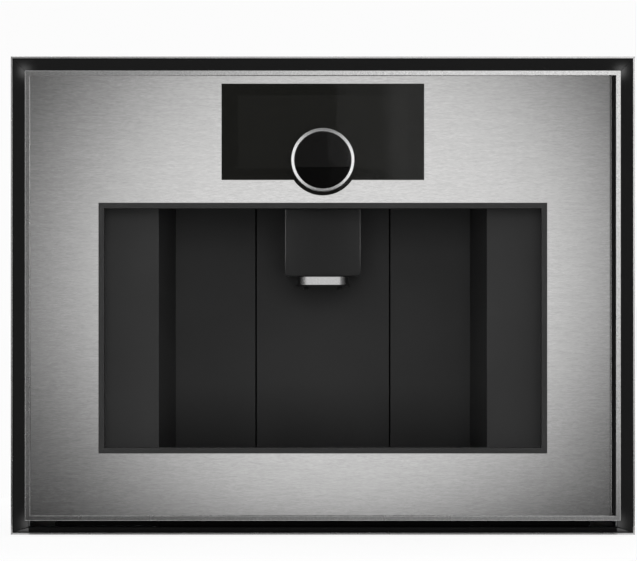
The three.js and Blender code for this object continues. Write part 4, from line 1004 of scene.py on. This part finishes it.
PHOTO_WIDTH, PHOTO_HEIGHT = 637, 561
METRES_PER_PIXEL = 0.9519 * MM  # at the furniture's front plane
CAMERA_DISTANCE = 6.0
CENTRE_COLUMN = 322.85  # the column and row of the photograph that the camera's axis would meet
CENTRE_ROW = 295.6
BACKGROUND = 0.973  # what the camera sees round the object
SKY = 0.42  # what lights dull surfaces from all sides
LAMPS = (("front", (0.1, -4.2, 0.5), 2.0, 86),  # name, place, size and watts
         ("key", (1.2, -2.4, 1.8), 1.2, 7),
         ("side", (-2.4, 0.3, 1.4), 1.4, 9),
         ("back", (1.2, 3.0, 1.6), 1.6, 16))


def make_camera():
    data = bpy.data.cameras.new("camera")
    camera = bpy.data.objects.new("camera", data)
    bpy.context.scene.collection.objects.link(camera)
    bpy.context.scene.camera = camera
    camera.location = (0, FURNITURE_PLANE - CAMERA_DISTANCE, (cad_low.z + cad_high.z) / 2)
    camera.rotation_euler = (math.radians(90), 0, 0)
    data.sensor_width = 36
    data.lens = data.sensor_width * CAMERA_DISTANCE / METRES_PER_PIXEL / PHOTO_WIDTH
    data.shift_x = (PHOTO_WIDTH / 2 - CENTRE_COLUMN) / PHOTO_WIDTH
    data.shift_y = (CENTRE_ROW - PHOTO_HEIGHT / 2) / PHOTO_WIDTH
    data.clip_end = 100


def seen_or_mirrored(tree):
    """1 for rays from the camera, in a mirror or through glass, and 0 for diffuse light."""
    path = add(tree, "LightPath")
    seen = calc(tree, "MAXIMUM", path.outputs["Is Camera Ray"], path.outputs["Is Glossy Ray"])
    return calc(tree, "MAXIMUM", seen, path.outputs["Is Transmission Ray"])


def make_world():
    world = bpy.data.worlds.new("studio")
    bpy.context.scene.world = world
    tree = bare_tree(world)
    level = spread(tree, seen_or_mirrored(tree), SKY, BACKGROUND, 0, 1)
    sky = add(tree, "Background", {"Color": (1, 1, 1, 1), "Strength": level})
    add(tree, "OutputWorld", {"Surface": sky.outputs["Background"]})


def make_lamps():
    middle = (cad_low + cad_high) / 2
    for name, place, size, watts in LAMPS:
        lamp = bpy.data.lights.new(name, "AREA")
        lamp.shape = "SQUARE"
        lamp.size = size
        lamp.energy = watts
        made = bpy.data.objects.new(name, lamp)
        bpy.context.scene.collection.objects.link(made)
        made.location = place
        made.rotation_euler = (middle - Vector(place)).to_track_quat("-Z", "Y").to_euler()
        made.visible_glossy = False
        made.visible_camera = False


def make_floor():
    """A pale floor. It keeps the object's soft shadow and runs out into the background's white."""
    fade_from, fade_to = 0.68, 1.0  # distances from the object's middle
    near_share, near_level = 0.75, 1.15
    bm = bmesh.new()
    bmesh.ops.create_grid(bm, x_segments=1, y_segments=1, size=15)
    material = bpy.data.materials.new("floor")
    tree = bare_tree(material)
    away = length(tree, world_place(tree))
    share = spread(tree, away, near_share, 1.0, fade_from, fade_to)
    level = spread(tree, away, near_level, BACKGROUND, fade_from, fade_to)
    pale = add(tree, "BsdfDiffuse", {"Color": (0.8, 0.8, 0.8, 1)})
    bright = add(tree, "Emission", {"Strength": level})
    shown = mix_shaders(tree, share, pale, bright)
    surface(tree, mix_shaders(tree, seen_or_mirrored(tree), pale, shown))
    floor = new_object("floor", bm, [material])
    floor.location = (0, 0, cad_low.z - 0.5 * MM)


# ---- what the polished pieces mirror


def card(name, centre, size, fill, facing=(0, 1, 0)):
    """A sheet that only glossy surfaces see: a studio reflector or flag. fill(tree) makes its shader."""
    bm = bmesh.new()
    bmesh.ops.create_grid(bm, x_segments=1, y_segments=1, size=0.5)
    material = bpy.data.materials.new(name)
    fill(bare_tree(material))
    material.cycles.emission_sampling = "NONE"
    made = new_object(name, bm, [material])
    turn = Vector(facing).to_track_quat("Z", "Y").to_matrix().to_4x4()
    made.matrix_world = Matrix.Translation(centre) @ turn @ Matrix.Diagonal((size[0], size[1], 1, 1))
    for ray in ("camera", "diffuse", "transmission", "volume_scatter", "shadow"):
        setattr(made, "visible_" + ray, False)
    return made


def card_for(nodes, *card_values):
    """A card that only these nodes' pieces mirror."""
    light = card(*card_values)
    group = bpy.data.collections.new(light.name + "_on")
    for node in nodes:
        group.objects.link(bpy.data.objects[node + "_look"])
    light.light_linking.receiver_collection = group


def glow(tree, strength):
    """Light added to what is behind the sheet."""
    clear = add(tree, "BsdfTransparent")
    light = add(tree, "Emission", {"Strength": strength})
    surface(tree, add(tree, "AddShader", {0: clear.outputs[0], 1: light.outputs[0]}))


def shine(tree, strength):
    """Light that hides what is behind the sheet."""
    surface(tree, add(tree, "Emission", {"Strength": strength}))


def spot(centre, radii, power, peak, base, turn=0.0):
    """A soft round patch of light on a sheet, in world X and Z: base + peak * exp(-distance ** power)."""
    def fill(tree):
        moved = vector(tree, "SUBTRACT", world_place(tree), (centre[0], 0, centre[1]))
        turned = add(tree, "VectorRotate", {"Vector": moved, "Angle": turn}, rotation_type="Y_AXIS")
        scaled = vector(tree, "MULTIPLY", turned.outputs["Vector"], (1 / radii[0], 0, 1 / radii[1]))
        level = add(tree, "MapRange", {"Value": bell(tree, length(tree, scaled), power), "To Min": base,
                                       "To Max": base + peak}, clamp=False)
        glow(tree, level.outputs["Result"])
    return fill


def make_dark_studio():
    """The dark room that the front mirrors, and a dim sheet on the floor under the object, a painted shadow
    there that only mirrors see.
    """
    solid_to, clear_from = 0.45, 0.95  # beside the middle of the foreground
    ground = cad_low.z + 0.2 * MM

    def black(tree):
        return add(tree, "BsdfDiffuse", {"Color": (0, 0, 0, 1)})

    def foreground(tree):
        beside = calc(tree, "ABSOLUTE", part_along(tree, world_place(tree), "X"))
        cover = ramp(tree, beside, clear_from, solid_to, 1.0)
        surface(tree, mix_shaders(tree, cover, add(tree, "BsdfTransparent"), black(tree)))

    card("dark_backdrop", (0.3, cad_low.y - 1.5, 0.7), (2.8, 3.0), lambda tree: surface(tree, black(tree)))
    # painted shadow: a dim sheet under the object, seen only by mirrors
    card("painted_floor_shadow", (0, 0.02, ground), (0.56, 0.5), lambda tree: shine(tree, 0.06), (0, 0, 1))
    card("dark_foreground", (0, cad_low.y - 0.75, ground), (2.0, 1.5), foreground, (0, 0, 1))


def make_soft_lights():
    """Soft patches of light ahead of the front, one for each finish. Each sheet lies at its own depth."""
    ahead = cad_low.y
    wide = (3.0, 2.4)
    card_for(["door_panel"], "panel_light", (0, ahead - 0.35, 0.3), wide,
             spot((0.02, 0.259), (0.304, 0.282), 4.6, 0.63 / STEEL, 0.055 / STEEL))
    card_for(["door_panel"], "foot_light", (0.03, ahead - 0.39, 0), (1.0, 0.3),
             spot((0.03, -0.008), (0.2, 0.05), 2.0, 0.34, 0.0))
    card_for(["door_rim"], "rim_light", (0, ahead - 0.36, 0.3), wide,
             spot((0.52, 0.85), (0.5, 1.0), 4.5, 0.68 / STEEL, 0.02, -0.63))
    card_for(RAILS, "edge_light", (0, ahead - 0.37, 0.3), wide,
             spot((0.62, 0.45), (0.95, 0.36), 2.8, 0.68 / STEEL, 0.01, 0.14))

    def bow_tie(tree):
        """Bright at both sides of the ring and dim above and below."""
        dim, bright, reach = 0.15, 1.35, 0.8
        moved = vector(tree, "SUBTRACT", world_place(tree), tuple(RING_CENTRE))
        parts = add(tree, "SeparateXYZ", {"Vector": moved})
        angle = calc(tree, "ARCTAN2", parts.outputs["Z"], parts.outputs["X"])
        wave = calc(tree, "COSINE", calc(tree, "MULTIPLY", angle, 2.0))
        glow(tree, spread(tree, wave, dim, bright, -reach, reach))

    def stepped(tree):
        """Three tones across the glass, lighter to the right."""
        left, first_step, second_step = 0.07, 0.15, 0.24
        across = part_along(tree, world_place(tree), "X")
        first = ramp(tree, across, 0.012, 0.017, first_step)
        second = ramp(tree, across, 0.055, 0.078, second_step)
        glow(tree, calc(tree, "ADD", calc(tree, "ADD", first, second), left))

    card_for(["control_ring"], "ring_light", (RING_CENTRE.x, ahead - 0.18, RING_CENTRE.z), (0.17, 0.17),
             bow_tie)
    card_for(["display_glass", "knob_core"], "glass_light", (0, ahead - 0.38, RING_CENTRE.z), (1.4, 0.8),
             stepped)
    card_for(["outlet_steel_block", "outlet_spout_plate"], "spout_light", (0, ahead - 0.2, 0.27), (0.6, 0.5),
             spot((0, 0.29), (0.155, 0.12), 3.0, 0.92, 0.02))


def make_outlet_lights():
    """A glint for each long edge of the outlet's cover, and a fading wall beside the steel block."""
    glint_level, bright, dark = 3.0, 0.22, 0.01
    low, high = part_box("outlet_steel_block")

    def fading(tree):
        depth = part_along(tree, world_place(tree), "Y")
        shine(tree, spread(tree, depth, bright, dark, low.y - 56 * MM, low.y - 2 * MM))

    for side in (-1, 1):
        card_for(["outlet_front_cover"], f"outlet_glint_{side + 1}", (side * 0.24, cad_low.y - 0.13, 0.3),
                 (0.26, 0.3), lambda tree: glow(tree, glint_level), (-side, 1, 0))
        card_for(["outlet_steel_block"], f"outlet_flag_{side + 1}",
                 (side * 0.06, low.y - 7 * MM, (low.z + high.z) / 2), (0.1, 0.03), fading, (side, 0, 0))


def make_corner_glows():
    """Small soft lamps beside the door's corners, which show as a glow on the surround's bevels."""
    away = 0.06
    size = (0.05, 0.05)

    def patch(centre, along, depth, level):
        """A bell of light: along is its radius in X and Z, and depth the one in Y."""
        def fill(tree):
            moved = vector(tree, "SUBTRACT", world_place(tree), centre)
            scaled = vector(tree, "MULTIPLY", moved, (1 / along, 1 / depth, 1 / along))
            glow(tree, calc(tree, "MULTIPLY", bell(tree, length(tree, scaled), 2.0), level))
        return fill

    for side in (-1, 1):
        beside = side * (cad_high.x + away)
        high = (beside, RIDGE_PLANE - 11.3 * MM, DOOR_HIGH.z + 4 * MM)
        low = (beside, RIDGE_PLANE - 14.8 * MM, DOOR_LOW.z - 6.5 * MM)
        top = (side * (DOOR_HIGH.x + 6.5 * MM), RIDGE_PLANE - 11.6 * MM, cad_high.z + away)
        card_for(RAILS, f"glow_high_{side + 1}", high, size, patch(high, 5.7 * MM, 3.5 * MM, 22.0),
                 (-side, 0, 0))
        card_for(RAILS, f"glow_low_{side + 1}", low, size, patch(low, 6.8 * MM, 5 * MM, 13.0), (-side, 0, 0))
        card_for(RAILS, f"glow_top_{side + 1}", top, size, patch(top, 5.7 * MM, 3.5 * MM, 16.0), (0, 0, -1))


# ---- everything in turn

make_door()
make_surround()
make_mitre_seals()
make_fronts()
make_seams()
make_outlet_covers()
make_spout()
make_rest()
make_casing_screws()
make_casing_ribs()
make_liner_details()
for node, made in CAD.items():
    made.data.materials.clear()
    made.data.materials.append(finish(SLOT[node]))
make_camera()
make_world()
make_lamps()
make_dark_studio()
make_soft_lights()
make_outlet_lights()
make_corner_glows()
make_floor()

bpy.context.scene.view_settings.view_transform = "Standard"
